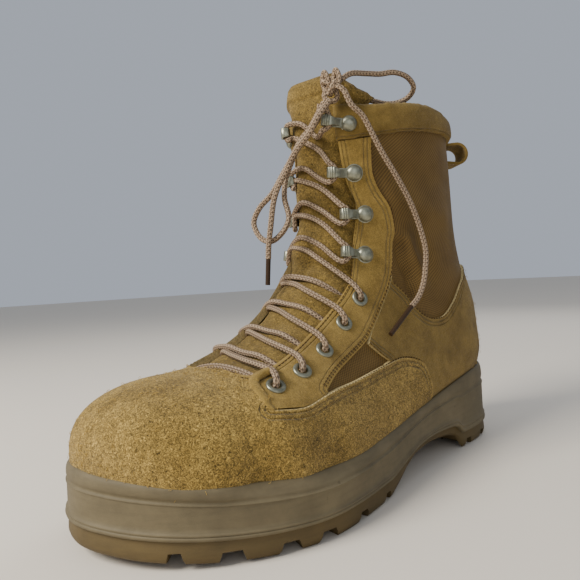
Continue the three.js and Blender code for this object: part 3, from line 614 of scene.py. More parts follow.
def fastener_axes(k, side):
    """Seat of an eyelet or hook: its place, and its axes to the throat, along and away"""
    station, share = FASTENERS[k]
    here = section(station)
    middle = float(here["lateral"] + here["medial"]) / 2
    x = share * BALL_WIDTH
    x = x if side > 0 else 2 * middle - x
    base = CUFF_PAD if k == len(FASTENERS) - 1 else 0
    place, across, along, normal = over_last(station, x, base, dressed=True)
    towards = across * -side
    if k >= EYELETS:
        turn = math.radians(HOOK_TURNS[k - EYELETS])
        towards, along = (towards * math.cos(turn) - along * math.sin(turn),
                          along * math.cos(turn) + towards * math.sin(turn))
    return place, towards, along, normal


def fastener_place(k, side, u, rise, w):
    place, towards, along, normal = fastener_axes(k, side)
    return place + towards * u + along * rise + normal * w


def throat_x(station, side, margin=0.0):
    half = THROAT["lateral" if side > 0 else "medial"](station) * BALL_WIDTH + margin
    return float(half) * side


def throat_block():
    """Solid along the ridge of the last that opens the throat"""
    rings = []
    for station in np.linspace(THROAT_START, LAST_END, 90):
        here = section(station)
        ahead, behind = section(min(station + 0.1, LAST_END)), section(station - 0.1)
        tangent = np.array([ahead[name] - behind[name] for name in ("front_y", "front_z")])
        tangent /= np.linalg.norm(tangent)
        normal = np.array([-tangent[1], tangent[0]])
        ridge = np.array([here["front_y"], here["front_z"]])
        high, low = ridge + normal * THROAT_REACH, ridge - normal * THROAT_REACH
        lateral, medial = throat_x(station, 1), throat_x(station, -1)
        rings.append([[lateral, *high], [lateral, *low], [medial, *low], [medial, *high]])
    return as_object("throat", closed_up(wrapped(hoops(rings))), MATERIALS["edge"])


# Lines over the surface, for stitches and worn edges


SURFACE = BVHTree.FromBMesh(wrapped(DRESSED))


def side_line(outline, side, pitch=1.0):
    """Places on the surface under a side outline"""
    flat = np.stack([y_of(np.array(outline)[:, 0]), z_of(np.array(outline)[:, 1])], axis=1)
    line = []
    for y, z in spaced(flat, pitch):
        hit = SURFACE.ray_cast(Vector((side * 200, y, z)), Vector((-side, 0, 0)))
        if hit[0] is not None:
            line.append(hit[0])
    return line


def throat_line(side, first, last):
    """Places on the surface along an edge of the throat"""
    line = [over_last(s, throat_x(s, side), 0, dressed=True)[0] for s in np.linspace(first, last, 90)]
    return [Vector(place) for place in spaced(line)]


def shifted(line, inset):
    """Line moved over the surface, to the left of its run for a positive inset"""
    moved = []
    for k, place in enumerate(line):
        tangent = (line[min(k + 2, len(line) - 1)] - line[max(k - 2, 0)]).normalized()
        near, normal, _, _ = SURFACE.find_nearest(place)
        near = SURFACE.find_nearest(near + normal.cross(tangent) * inset)
        moved.append((near[0], near[1]))
    return moved


def stitches(line, inset, pitch, lift=0.0):
    """Stitches of thread in a row, each a small pill laid on the surface"""
    places = np.array([list(place) for place, _ in shifted(line, inset)])
    run = np.concatenate([[0], np.cumsum(np.linalg.norm(np.diff(places, axis=0), axis=1))])
    bm = bmesh.new()
    for k in range(int(run[-1] / pitch)):
        start, end = (Vector([np.interp((k + share) * pitch, run, places[:, axis]) for axis in range(3)])
                      for share in STITCH_SPAN)
        centre = (start + end) / 2
        normal = SURFACE.find_nearest(centre)[1]
        tangent = end - start
        size = Matrix.Diagonal((tangent.length / 2, *STITCH_SIZE, 1))
        tangent.normalize()
        side = normal.cross(tangent).normalized()
        centre += normal * (lift + STITCH_RISE)
        lie = Matrix.Translation(centre) @ turned(tangent, side, normal) @ size
        bmesh.ops.create_uvsphere(bm, u_segments=6, v_segments=4, radius=1,
                                  matrix=lie @ Matrix.Rotation(math.pi / 2, 4, "Y"))
    return bm


# Materials

WHITE = (1, 1, 1)

# How far from an edge suede changes, in millimetres, and the pitch of the lace's yarns
EDGE_REACH = 8
BRAID_PITCH = 0.0026


def node(tree, kind, inputs=None, **settings):
    """Adds a node with its settings, and its inputs as values or as other nodes' sockets"""
    new = tree.nodes.new("ShaderNode" + kind)
    for name, value in settings.items():
        setattr(new, name, value)
    for key, value in (inputs or {}).items():
        if isinstance(value, bpy.types.NodeSocket):
            tree.links.new(value, new.inputs[key])
        else:
            new.inputs[key].default_value = value
    return new


def begin(name):
    """New material with its tree and the coordinates of its surface"""
    material = bpy.data.materials.new(name)
    material.use_nodes = True
    tree = material.node_tree
    return material, tree, node(tree, "TexCoord").outputs


def finish(material, colour, height, strength, distance, roughness, **values):
    """Joins a colour and a relief to the main shader and sets its constant values"""
    tree = material.node_tree
    shader = tree.nodes["Principled BSDF"]
    bump = node(tree, "Bump", {"Height": height, "Strength": strength, "Distance": distance})
    tree.links.new(colour, shader.inputs["Base Color"])
    tree.links.new(bump.outputs["Normal"], shader.inputs["Normal"])
    shader.inputs["Roughness"].default_value = roughness
    for key, value in values.items():
        shader.inputs[key.replace("_", " ")].default_value = value
    return material


def noise(tree, place, scale, detail, roughness=0.5, distortion=0.0):
    return node(tree, "TexNoise", {
        "Vector": place, "Scale": scale, "Detail": detail, "Roughness": roughness,
        "Distortion": distortion}).outputs["Fac"]


def maths(tree, operation, *values, **settings):
    return node(tree, "Math", dict(enumerate(values)), operation=operation, **settings).outputs[0]


def spread(tree, value, low, high, top=1.0):
    """Value moved from low and high to 0 and top"""
    inputs = {"Value": value, "From Min": low, "From Max": high, "To Max": top}
    return node(tree, "MapRange", inputs).outputs[0]


def mix(tree, factor, first, second, blend="MULTIPLY"):
    inputs = {"Factor": factor, 6: first, 7: second}
    return node(tree, "Mix", inputs, data_type="RGBA", blend_type=blend).outputs[2]


def ramp(tree, factor, *stops):
    """Colour ramp through stops of position and linear colour"""
    made = node(tree, "ValToRGB", {"Fac": factor})
    elements = made.color_ramp.elements
    while len(elements) < len(stops):
        elements.new(0.5)
    for element, (position, colour) in zip(elements, stops):
        element.position = position
        element.color = (*colour, 1)
    return made.outputs["Color"]


def tinted(colour, factor):
    return [min(c * factor, 1) for c in colour]


def suede_material(name, colour, nap, contrast, edge_rows=()):
    """Rough-out suede, split cowhide brushed to a coarse nap: matt, flecked light and dark,
    paler and fuzzy at a worn edge, with a trough along each row of stitches"""
    material, tree, places = begin(name)
    place = places["Object"]
    fleck = noise(tree, place, 1 / nap, 4, 0.8, 1.6)
    crumb = noise(tree, place, 2.6 / nap, 3, 0.7, 0.6)
    mixed = maths(tree, "MULTIPLY_ADD", crumb, 0.7, fleck)
    tone = ramp(
        tree, spread(tree, mixed, 0.62, 1.08),
        (0.06, tinted(colour, 1 - 0.62 * contrast)), (0.40, tinted(colour, 1 - 0.16 * contrast)),
        (0.62, tinted(colour, 1 + 0.14 * contrast)), (0.92, tinted(colour, 1 + 0.95 * contrast)))
    patch = ramp(tree, noise(tree, place, 36, 4, 0.6), (0.34, (0.62, 0.60, 0.55)), (0.56, WHITE))
    drift = ramp(tree, noise(tree, place, 150, 4, 0.65), (0.34, (0.66, 0.64, 0.58)), (0.60, WHITE))
    base = mix(tree, 0.6, mix(tree, 0.75, tone, patch), drift)
    height = maths(tree, "MULTIPLY", mixed, 0.5)
    if edge_rows:
        far = node(tree, "Attribute", attribute_name="edge_distance").outputs["Fac"]
        share = maths(tree, "DIVIDE", far, EDGE_REACH * MM, use_clamp=True)
        line = node(tree, "FloatCurve", {"Value": share})
        points = line.mapping.curves[0].points
        points[0].location, points[1].location = (0, 0.6), (1, 0.8)
        points.new(0.10, 0.76)
        for row in edge_rows:
            for shift, level in ((-0.07, 0.8), (0, 0.35), (0.07, 0.8)):
                points.new(row / EDGE_REACH + shift, level)
        line.mapping.update()
        height = maths(tree, "MULTIPLY_ADD", line.outputs[0], 2.4, height)
        worn = ramp(tree, share, (0.0, (0.4, 0.4, 0.4)), (0.26, (0, 0, 0)))
        base = mix(tree, worn, base, (*tinted(colour, 1.45), 1), "MIX")
    return finish(material, base, height, 1.0, 0.0006 + 0.0006 * contrast, 0.95,
                  Specular_IOR_Level=0.15, Sheen_Weight=0.1, Sheen_Roughness=0.45)


def edge_material(name, colour):
    """Cut edge of split leather: pale layered fibres that fray along the cut"""
    material, tree, places = begin(name)
    fibre = noise(tree, places["Object"], 900, 5, 0.75)
    tone = ramp(tree, fibre, (0.32, tinted(colour, 0.5)), (0.52, colour), (0.7, tinted(colour, 1.35)))
    return finish(material, tone, fibre, 1.0, 0.0007, 0.95, Specular_IOR_Level=0.1)


def nylon_material(name, colour, pitch):
    """Ballistic nylon, a plain weave of thick dyed yarns: matt, each yarn painted lighter where it rises
    over the next, a faint painted glint, and darker where it dips under, painted shade.
    Its yarns are drawn a little coarser than the real ones so that they show."""
    material, tree, places = begin(name)
    parts = node(tree, "SeparateXYZ", {0: places["UV"]})
    waves = [maths(tree, "SINE", maths(tree, "MULTIPLY", parts.outputs[axis], 2 * math.pi / pitch))
             for axis in ("X", "Y")]
    yarn = spread(tree, maths(tree, "MULTIPLY", *waves), -1, 1)
    # Painted light: the weave's rises are painted as a highlight and its dips as shade
    tone = ramp(tree, yarn, (0.12, tinted(colour, 0.45)), (0.5, colour), (0.9, tinted(colour, 1.45)))
    dust = noise(tree, places["Object"], 55, 5)
    base = mix(tree, 0.7, tone, ramp(tree, dust, (0.35, (0.72, 0.70, 0.66)), (0.62, WHITE)))
    return finish(material, base, yarn, 0.5, 0.0003, 0.72, Specular_IOR_Level=0.3)


def rubber_material(name, colour, dusty):
    """Moulded rubber, slightly chalky: fine pores, dull smears and pale dust in random patches"""
    material, tree, places = begin(name)
    place = places["Object"]
    stretch = node(tree, "Mapping", {"Vector": place, "Scale": (60, 60, 500)}).outputs[0]
    smear = noise(tree, place, 30, 6, 0.65)
    scuff = noise(tree, stretch, 1, 4, 0.6)
    pore = noise(tree, place, 1400, 3, 0.7)
    spot = noise(tree, place, 150, 2, 0.5)
    tone = ramp(
        tree, smear, (0.32, tinted(colour, 0.78)), (0.5, colour), (0.70, tinted(colour, 1 + 0.28 * dusty)))
    lines = ramp(tree, scuff, (0.30, (0.86, 0.86, 0.86)), (0.55, WHITE))
    marks = ramp(tree, spot, (0.24, (0.45, 0.43, 0.40)), (0.29, WHITE))
    base = mix(tree, 0.6, mix(tree, 0.8, tone, lines), marks)
    height = maths(tree, "MULTIPLY_ADD", scuff, 0.6, pore)
    return finish(material, base, height, 0.35, 0.0003, 0.68, Specular_IOR_Level=0.35)


def metal_material(name, colour):
    """Lacquered steel: olive grey satin coat with fine orange peel, rubbed brighter in spots"""
    material, tree, places = begin(name)
    rub = noise(tree, places["Object"], 320, 4, 0.6)
    tone = ramp(tree, rub, (0.35, tinted(colour, 0.72)), (0.5, colour), (0.68, tinted(colour, 1.3)))
    return finish(material, tone, rub, 0.15, 0.0002, 0.36, Metallic=0.8)


def braid_material(name, colour, dark):
    """Round polyester braid: crossing yarns with two lines of dark flecks along it, painted shade in the
    grooves between the yarns and a painted highlight on their crests
    """
    material, tree, places = begin(name)
    parts = node(tree, "SeparateXYZ", {0: places["UV"]})
    around = maths(tree, "MULTIPLY", parts.outputs["X"], 8 * math.pi)
    yarns = [maths(tree, "SINE", maths(
        tree, "MULTIPLY_ADD", parts.outputs["Y"], lean * 2 * math.pi / BRAID_PITCH, around))
            for lean in (1, -1)]
    braid = maths(tree, "MAXIMUM", *yarns)
    fleck = maths(tree, "MULTIPLY_ADD", yarns[0], 0.45, maths(tree, "SINE", around))
    # Painted light: the grooves between the yarns are painted in shade and their crests as a highlight
    tone = ramp(tree, spread(tree, braid, -0.6, 1),
                (0.1, tinted(colour, 0.45)), (0.6, colour), (0.95, tinted(colour, 1.5)))
    base = mix(tree, spread(tree, fleck, 0.75, 1.15, 0.85), tone, (*dark, 1), "MIX")
    return finish(material, base, braid, 0.7, 0.0004, 0.75, Specular_IOR_Level=0.25)


def plain_material(name, colour, roughness, grain):
    """Dyed thread, felt or lining: one colour broken by its fibres"""
    material, tree, places = begin(name)
    fibre = noise(tree, places["Object"], 1 / grain, 4, 0.7)
    tone = ramp(tree, fibre, (0.3, tinted(colour, 0.6)), (0.55, colour), (0.75, tinted(colour, 1.3)))
    return finish(material, tone, fibre, 0.6, grain / 3, roughness, Specular_IOR_Level=0.2)


MATERIALS = {}


def make_materials(boot):
    suede, edge = list(boot.suede), list(boot.cut_edge)
    MATERIALS.update({
        "toe": suede_material("coarse rough-out suede", tinted(suede, 1.15), boot.nap * 1.3, 1.45, (2.6,
            5.2)),
        "panel": suede_material("brushed suede", tinted(suede, 1.12), boot.nap * 0.9, 0.65, (2.3, 4.7)),
        "counter": suede_material("fine brushed suede", tinted(suede, 0.86), boot.nap * 0.75, 0.6, (2.3,
            4.7)),
        "cuff": suede_material("padded suede", tinted(suede, 0.80), boot.nap * 0.8, 0.5, (2.2,)),
        "tongue": suede_material("mottled suede", tinted(suede, 0.68), boot.nap * 1.6, 1.1),
        "edge": edge_material("cut suede edge", edge),
        "nylon": nylon_material("ballistic nylon", list(boot.nylon), boot.yarn_pitch),
        "lining": plain_material("brushed lining", srgb("4a3a22"), 0.95, 0.0008),
        "felt": plain_material("felt footbed", srgb("8f7d5c"), 0.95, 0.0008),
        "fibre": plain_material("loose suede fibre", tinted(suede, 1.9), 0.9, 0.0008),
        "thread": plain_material("waxed thread", list(boot.thread), 0.7, 0.0005),
        "wall": rubber_material("cup rubber", list(boot.wall_rubber), 1.0),
        "tread": rubber_material("tread rubber", list(boot.tread_rubber), 0.8),
        "metal": metal_material("lacquered steel", list(boot.metal)),
        "braid": braid_material("round braid", list(boot.braid), srgb("4a3324")),
        "aglet": plain_material("shrunk lace tip", srgb("3a2a1c"), 0.4, 0.0006),
    })


# Pieces of the sole

# Outline of the sole: along, and half widths to the lateral and medial sides
SOLE_ROWS = [
    [0.03, 0.206, 0.206], [0.08, 0.301, 0.301], [0.15, 0.344, 0.341], [0.25, 0.363, 0.347],
    [0.35, 0.385, 0.352], [0.45, 0.433, 0.363], [0.55, 0.491, 0.391], [0.65, 0.540, 0.426],
    [0.72, 0.549, 0.457], [0.80, 0.504, 0.473], [0.88, 0.405, 0.450], [0.94, 0.279, 0.380],
    [0.98, 0.126, 0.264],
]
# Places along with the shares of the arch's rise, of the toe's spring and of the rim's height
ARCH_SHARE, SPRING_SHARE = curves([
    [0.00, 0.00, 0.00], [0.21, 0.00, 0.00], [0.235, 0.72, 0.00], [0.27, 0.92, 0.00], [0.33, 1.00, 0.00],
    [0.40, 0.92, 0.00], [0.45, 0.66, 0.00], [0.50, 0.27, 0.00], [0.55, 0.00, 0.00], [0.73, 0.00, 0.00],
    [0.80, 0.00, 0.10], [0.88, 0.00, 0.36], [0.94, 0.00, 0.66], [1.00, 0.00, 1.00],
])
RIM_SHARE = curves([
    [0, 0.995], [0.12, 0.963], [0.28, 0.810], [0.40, 0.704], [0.55, 0.613], [0.70, 0.574], [0.85, 0.630],
    [1, 0.763],
])[0]


def under_at(along):
    return ARCH_SHARE(along) * ARCH_RISE + SPRING_SHARE(along) * TOE_SPRING


def seam_at(along):
    return under_at(along) + OUTSOLE * (1 - 0.45 * ARCH_SHARE(along))


def rim_at(along):
    return RIM_SHARE(along) * RIM_HEIGHT


def sole_outline():
    """Outline of the sole, its outward directions and its places along, evenly spaced"""
    points = [(0.0, float(y_of(0)))]
    points += [(lateral * BALL_WIDTH, float(y_of(along))) for along, lateral, _ in SOLE_ROWS]
    points += [(CAP_DRIFT * BALL_WIDTH, float(y_of(1)))]
    points += [(-medial * BALL_WIDTH, float(y_of(along))) for along, _, medial in reversed(SOLE_ROWS)]
    line = rounded_line(points, 24, closed=True)
    line = spaced(np.concatenate([line, line[:1]]), count=SOLE_AROUND)[:-1]
    tangent = np.roll(line, -3, axis=0) - np.roll(line, 3, axis=0)
    tangent /= np.linalg.norm(tangent, axis=1, keepdims=True)
    out = np.stack([-tangent[:, 1], tangent[:, 0]], axis=1)
    if (out * line).sum() < 0 and (out[:, 0] * line[:, 0]).sum() < 0:
        out = -out
    return line, out, np.clip(along_of(line[:, 1]), 0, 1)


# Outside of the cup, as rows of up and out, from its seam, up 0, to its rim, up 1:
# bead, wall, mould line, groove and lip
CUP_ROWS = [
    [0.000, -0.9], [0.012, 0.1], [0.035, 0.75], [0.065, 0.95], [0.088, 0.75], [0.096, 0.35], [0.104, 0.35],
    [0.112, 0.62], [0.135, 0.62], [0.150, 0.15], [0.165, -0.25], [0.25, -0.35], [0.40, -0.45], [0.55, -0.5],
    [0.655, -0.5], [0.665, -0.15], [0.678, -0.15], [0.690, -0.6], [0.705, -0.95], [0.73, -1.0],
    [0.755, -0.7],
    [0.775, -0.45], [0.80, -0.2], [0.86, -0.1], [0.92, -0.2], [0.955, -0.5], [0.98, -0.95], [0.995, -1.5],
]
LIP = 2.6
CUP_LOOK = 6


def build_cup():
    line, out, along = sole_outline()
    low, high = seam_at(along) + 0.05, rim_at(along)
    room = []
    for place, way, top in zip(line, out, high):
        start = Vector((*(place + way * CUP_LOOK), float(top) + 1))
        hit = SURFACE.ray_cast(start, Vector((-way[0], -way[1], 0)))
        room.append(hit[3] - CUP_LOOK if hit[0] is not None else 4)
    room = np.convolve(room[-4:] + room + room[:4], np.ones(9) / 9, "valid")
    lean = np.clip(room - LIP, 0, 7)
    inner = -(room + 1.4)
    steps = [(-9.0, low), (-3.0, low)]
    steps += [(shift - lean * smooth_step((up - 0.66) / 0.34), low + (high - low) * up)
        for up, shift in CUP_ROWS]
    steps += [(-(1.5 + lean) - (room + 0.6 - 1.5 - lean) * share, high + drop)
              for share, drop in ((0.25, 0.05), (0.6, 0.0), (0.9, -0.25), (1.1, -1.2))]
    steps += [(inner, high - 6), (inner, (low + high) / 2), (-9.0, low)]
    rings = [np.column_stack([line + out * np.broadcast_to(shift, len(line))[:, None], height])
             for shift, height in steps]
    bm = wrapped(hoops(rings))
    bmesh.ops.remove_doubles(bm, verts=bm.verts, dist=0.005)
    bmesh.ops.recalc_face_normals(bm, faces=bm.faces)
    return make_piece("cup_wall", bm, "wall", ["midsole"], 50)


# Tread: its edge as rows of up and out, its notches as along and width,
# and its grooves as along, half length, lean and width
EDGE_ROWS = [(0.0, -1.9), (0.06, -1.2), (0.18, -0.5), (0.34, -0.05), (0.6, -0.2), (1.0, -0.7)]
NOTCH_ROWS = [
    (0.045, 7), (0.11, 8), (0.185, 8), (0.555, 7), (0.640, 8), (0.722, 10), (0.792, 10), (0.868, 11),
    (0.930, 8)]
GROOVE_ROWS = [
    (0.075, 15, 7, 3.5), (0.15, 19, 8, 3.5), (0.595, 26, 10, 4), (0.68, 30, 11, 4), (0.757, 31, 12, 4),
    (0.83, 29, 12, 4), (0.90, 22, 10, 4)]
GROOVE_DEPTH = 3.4


def groove_block(start, end, width, top):
    """Straight block between two places on the floor, up to a height"""
    start, end = Vector(start), Vector(end)
    middle, way = (start + end) / 2, end - start
    turn = Matrix.Rotation(math.atan2(way.y, way.x), 4, "Z")
    size = Matrix.Diagonal((way.length, width, top + 2, 1))
    bm = bmesh.new()
    place = Matrix.Translation((middle.x, middle.y, top / 2 - 1))
    bmesh.ops.create_cube(bm, size=1, matrix=place @ turn @ size)
    return bm


def notch_block(line, out, along, where, width, side):
    """Trapezoid that cuts one gap between two lugs, square to the outline"""
    right = (line[:, 0] * side) > 0
    k = int(np.argmin(np.where(right, np.abs(along - where), 9)))
    inward = Vector((-out[k][0], -out[k][1], 0))
    across = Vector((out[k][1], -out[k][0], 0))
    top = NOTCH_HEIGHT + float(under_at(where))
    start = Vector((*line[k], 0)) - inward * 4
    corners = [(-width / 2 - 1.5, -1), (width / 2 + 1.5, -1), (width / 2 - 1.2, top), (1.2 - width / 2, top)]
    return prism([start + across * u + Vector((0, 0, w)) for u, w in corners], inward * (NOTCH_REACH + 4))


def build_tread():
    line, out, along = sole_outline()
    low, high = under_at(along), seam_at(along)
    bm = closed_up(wrapped(hoops(
        np.column_stack([line + out * (shift - WAIST_STEP * ARCH_SHARE(along))[:, None],
            low + (high - low) * up])
        for up, shift in EDGE_ROWS)))
    split_ngons(bm)
    body = as_object("tread", bm, MATERIALS["tread"])
    blocks = [notch_block(line, out, along, *row, side) for row in NOTCH_ROWS for side in (1, -1)]
    for where, half, lean, width in GROOVE_ROWS:
        y = float(y_of(where))
        blocks += [groove_block((-side, y - lean, 0), (side * half, y + lean * 0.4, 0), width,
                                float(under_at(where)) + GROOVE_DEPTH) for side in (1, -1)]
    carve(body, *[as_object("block", block, MATERIALS["tread"]) for block in blocks])
    return finish_piece(body, ["outsole"], 30)


# Pieces of the upper


def eyelet_pins(*sides):
    """Pins that cut the holes for the eyelets"""
    pins = []
    for k in range(EYELETS):
        for side in sides:
            place, towards, along, normal = fastener_axes(k, side)
            bm = bmesh.new()
            bmesh.ops.create_cone(
                bm, cap_ends=True, segments=20, radius1=PIN_RADIUS, radius2=PIN_RADIUS,
                    depth=PIN_LENGTH,
                matrix=Matrix.Translation(place - normal * 2) @ turned(towards, along, normal))
            pins.append(as_object("pin", bm, MATERIALS["edge"]))
    return pins


def build_shell():
    whole = -BALL_WIDTH, BALL_WIDTH
    foot = [[a, u + (INSOLE + GAP) / INSTEP_HEIGHT] for a, u in BOTTOM_EDGE]
    below = side_block("below", [*foot, [-0.05, -1], [1.05, -1]], *whole)
    collar = side_block("collar", [*CUFF_TOP, [-0.05, 3], [CUFF_TOP[0][0], 3]], *whole)
    shell = form("nylon_shell", UPPER_OUT, "nylon")
    carve(shell, form("inside", UPPER_IN, "lining"), below, collar, throat_block(), *eyelet_pins(1, -1))
    return finish_piece(shell, ["upper"])


RIM_TUCK = 3


def below_rim_block():
    """Everything below the rim of the cup, less a drop that lets the panels tuck in"""
    line, out, along = sole_outline()
    bm = closed_up(wrapped(hoops(
        np.column_stack([line + out * 2, height])
        for height in (np.full(len(line), -5.0), rim_at(along) - RIM_TUCK))))
    split_ngons(bm)
    return as_object("below_rim", bm, MATERIALS["edge"])


def build_panel(name, outline, material, node_name, x_span=(-BALL_WIDTH, BALL_WIDTH), outside=0.0,
                lines=(), pins=()):
    """Suede panel: a layer over the shell, cut to a side outline"""
    piece = form(name, outside, material)
    carve(piece, form("under_panel", UPPER_OUT + SKIN, "edge"), throat_block(), below_rim_block(), *pins,
          within=side_block("outline", outline, *x_span))
    mark_edges(piece, lines)
    return finish_piece(piece, [node_name])


VAMP_LIFT = 0.9


def build_vamp():
    outline = [*WING_TOP, [1.1, -1], [1.1, 0.75], [0.779, 0.75]]
    wings = [side_line(WING_TOP, side) for side in (1, -1)]
    return build_panel("vamp_suede", outline, "toe", "vamp", outside=VAMP_LIFT, lines=wings)


def build_counter():
    front = [[a - 0.001, u + 0.003] for a, u in WING_TOP[32:][::-1]]
    stay = [[a - 0.002, u] for a, u in STAY_BACK[18:31]]
    outline = [[-0.05, 0], [0.339, 0], *front, *WINDOW[::-1], *stay, *COUNTER_TOP]
    lines = [side_line(line, side) for line in (COUNTER_TOP, WINDOW) for side in (1, -1)]
    return build_panel("counter_suede", outline, "counter", "counter", lines=lines)


def build_stay(side, name, node_name):
    foot = [[a, u + 0.003] for a, u in WING_TOP[8:17]]
    cuff = [[a, u - 0.003] for a, u in CUFF_BOTTOM[:13]]
    outline = [[0.7785, 0.370], [0.7785, 0.9], [0.62, 1.7], *cuff, *STAY_BACK[:-6][::-1], *foot[::-1]]
    return build_panel(name, outline, "panel", node_name, x_span=sorted((0, side * BALL_WIDTH)),
                       lines=[side_line(STAY_BACK, side), throat_line(side, 0.9, 10.9)],
                           pins=eyelet_pins(side))


def dressed_at(station, column, height):
    """Place over a column of the dressed last"""
    row = np.interp(station, STATIONS, np.arange(len(STATIONS)))
    low = int(min(row, len(STATIONS) - 2))
    part = row - low
    place, normal = (grid[low, column] * (1 - part) + grid[low + 1, column] * part
                     for grid in (DRESSED, DRESSED_NORMALS))
    return place + normal / np.linalg.norm(normal) * height


def station_at(line, column, first):
    """Station at which a column of the dressed last meets a side line"""
    line = line[np.argsort(line[:, 0])]
    for station in np.linspace(first, LAST_END, 160):
        _, y, z = dressed_at(station, column, 0)
        if z > np.interp(along_of(y), line[:, 0], z_of(line[:, 1])):
            return station
    return LAST_END


# Profile of the padded collar as rows of share and height: from its lower seam outside,
# over the top and down inside
COLLAR_ROWS = [
    [0.00, -1.8], [0.005, 0.3], [0.03, 1.1], [0.10, 1.9], [0.25, 2.5], [0.50, 2.6], [0.75, 2.4], [0.90, 1.7],
    [0.97, 0.6], [1.00, -1.2], [1.00, -3.2], [0.96, -5.0], [0.85, -6.2], [0.55, -6.6], [0.20, -6.4],
    [-0.10, -5.6], [-0.20, -4.6],
]
COLLAR_END = 11.0
COLLAR_MIDDLE = -2.2


def build_collar():
    row = int(np.argmin(np.abs(STATIONS - COLLAR_END)))
    widths, half = DRESSED[row, :, 0], AROUND // 2
    first = next(k for k in range(half) if widths[k] > throat_x(COLLAR_END, 1))
    last = next(k for k in range(AROUND, half, -1) if widths[k] < throat_x(COLLAR_END, -1))
    rings = []
    for column in range(first, last + 1):
        low, high = station_at(CUFF_BOTTOM, column, 8.5), station_at(CUFF_TOP, column, 9.5)
        thin = math.sqrt(min((min(column - first, last - column) + 0.35) / 3, 1))
        rings.append([dressed_at(low + (high - low) * share, column,
                                 COLLAR_MIDDLE + (height - COLLAR_MIDDLE) * thin)
                      for share, height in COLLAR_ROWS])
    bm = closed_up(wrapped(hoops(rings)))
    inner = [edge for edge in bm.edges if len(edge.link_faces) == 2]
    bmesh.ops.subdivide_edges(bm, edges=inner, cuts=1, use_grid_fill=True, smooth=0.6)
    piece = as_object("collar_pad", bm, MATERIALS["cuff"])
    mark_edges(piece, [side_line(CUFF_BOTTOM, side) for side in (1, -1)])
    finish_piece(piece, ["collar_cuff"], 60)


# Soft folds across the tongue: station, depth and width in stations
TONGUE_FOLDS = [
    (2.2, 1.0, 0.35), (3.3, -1.2, 0.25), (4.2, 2.0, 0.45), (5.4, -2.4, 0.35), (6.5, 2.2, 0.6),
    (7.7, -1.8, 0.4),
    (8.7, 1.6, 0.5), (9.8, -1.4, 0.35), (10.9, 1.2, 0.5)]


TONGUE_SPREAD = 7
TONGUE_START = 0.5


def tongue_place(station, share):
    """Place and normal of the last under the tongue, whose sides are at shares of -1 and 1"""
    side = 1 if share >= 0 else -1
    lap = TONGUE_LAP + TONGUE_SPREAD * float(smooth_step((station - 9) / 3))
    place, _, _, normal = over_last(station, abs(share) * throat_x(station, side, lap), 0)
    return place, normal


def tongue_end(share):
    """Station at which the tongue ends under its top line"""
    line = TONGUE_TOP[np.argsort(y_of(TONGUE_TOP[:, 0]))]
    top = LAST_END - 0.1
    for station in np.linspace(10.5, top, 60):
        place = tongue_place(station, share)[0]
        if place.z > np.interp(place.y, y_of(line[:, 0]), z_of(line[:, 1])):
            return station
    return top


def build_tongue():
    front, back = [], []
    middle = TONGUE_OUT - TONGUE_PAD / 2
    for u in np.linspace(-1, 1, 49):
        top = tongue_end(u)
        outer, inner = [], []
        for v in np.linspace(0, 1, 180):
            station = TONGUE_START + (top - TONGUE_START) * v
            place, normal = tongue_place(station, u)
            x = abs(u) * throat_x(station, 1 if u >= 0 else -1, TONGUE_LAP)
            place = place + normal * tongue_lift(station, x)
            rim = max(1 - abs(u) ** 7, 0) ** 0.5 * max(1 - abs(2 * v - 1) ** 60, 0) ** 0.5
            fold = sum(depth * math.exp(-((station - where - 0.35 * u * u) / width) ** 2)
                       for where, depth, width in TONGUE_FOLDS)
            puff = (fold + 0.5 * math.sin(station * 5.1 + u * 3)) * (1 - u * u) + 1.2 * (v > 0.97)
            half = TONGUE_PAD / 2 * rim
            outer.append(list(place + normal * (middle + half + puff * rim)))
            inner.append(list(place + normal * (middle - half)))
        front.append(outer)
        back.append(inner)
    outer, inner = (wrapped(np.array(side).transpose(1, 0, 2)) for side in (front, back))
    bmesh.ops.reverse_faces(inner, faces=inner.faces)
    bm = joined([outer, inner])
    bmesh.ops.remove_doubles(bm, verts=bm.verts, dist=0.02)
    bmesh.ops.recalc_face_normals(bm, faces=bm.faces)
    make_piece("tongue_pad", bm, "tongue", ["tongue"], 60)


# Folded band around the rounded front end of the lateral eyestay
TAB_LINE = [
    [34.2, -179.5, 78.1], [33.2, -185, 77.2], [33.0, -190, 76.2], [34.0, -194.5, 75.0], [36.5, -197.4, 73.7],
    [41, -198.6, 71.4], [46, -199.0, 68.6], [51, -198.8, 64.8], [54.5, -196.5, 61.5]]
TAB_ROWS = [
    (-2.6, -1.6), (-2.7, 0.2), (-2.3, 1.0), (-1.2, 1.5), (0, 1.6), (1.2, 1.5), (2.2, 0.9), (2.6, 0.1),
    (2.6, -1.6)]


def build_tab():
    line = [SURFACE.find_nearest(Vector(p))[:2] for p in spaced(rounded_line(TAB_LINE, 8), 0.7)]
    last = len(line) - 1
    rings = []
    for k, (place, normal) in enumerate(line):
        tangent = (line[min(k + 1, last)][0] - line[max(k - 1, 0)][0]).normalized()
        across = normal.cross(tangent).normalized()
        end = math.sqrt(min((min(k, last - k) + 0.4) / 3, 1))
        rings.append([place + across * (u + 2.0) + normal * (0.8 + w) * end for u, w in TAB_ROWS])
    return make_piece("tab_band", closed_up(wrapped(hoops(rings))), "panel", [], 60)


def build_backstay():
    outline = [*[[a, u + 0.004] for a, u in COUNTER_TOP[60:]],
               *[[a, u - 0.003] for a, u in CUFF_BOTTOM[24:][::-1]]]
    piece = form("back_strip", 0, "counter")
    carve(piece, form("under_strip", UPPER_OUT + SKIN, "edge"),
          within=side_block("strip", outline, -LOOP_WIDTH / 2, LOOP_WIDTH / 2))
    return finish_piece(piece, ["backstay"])


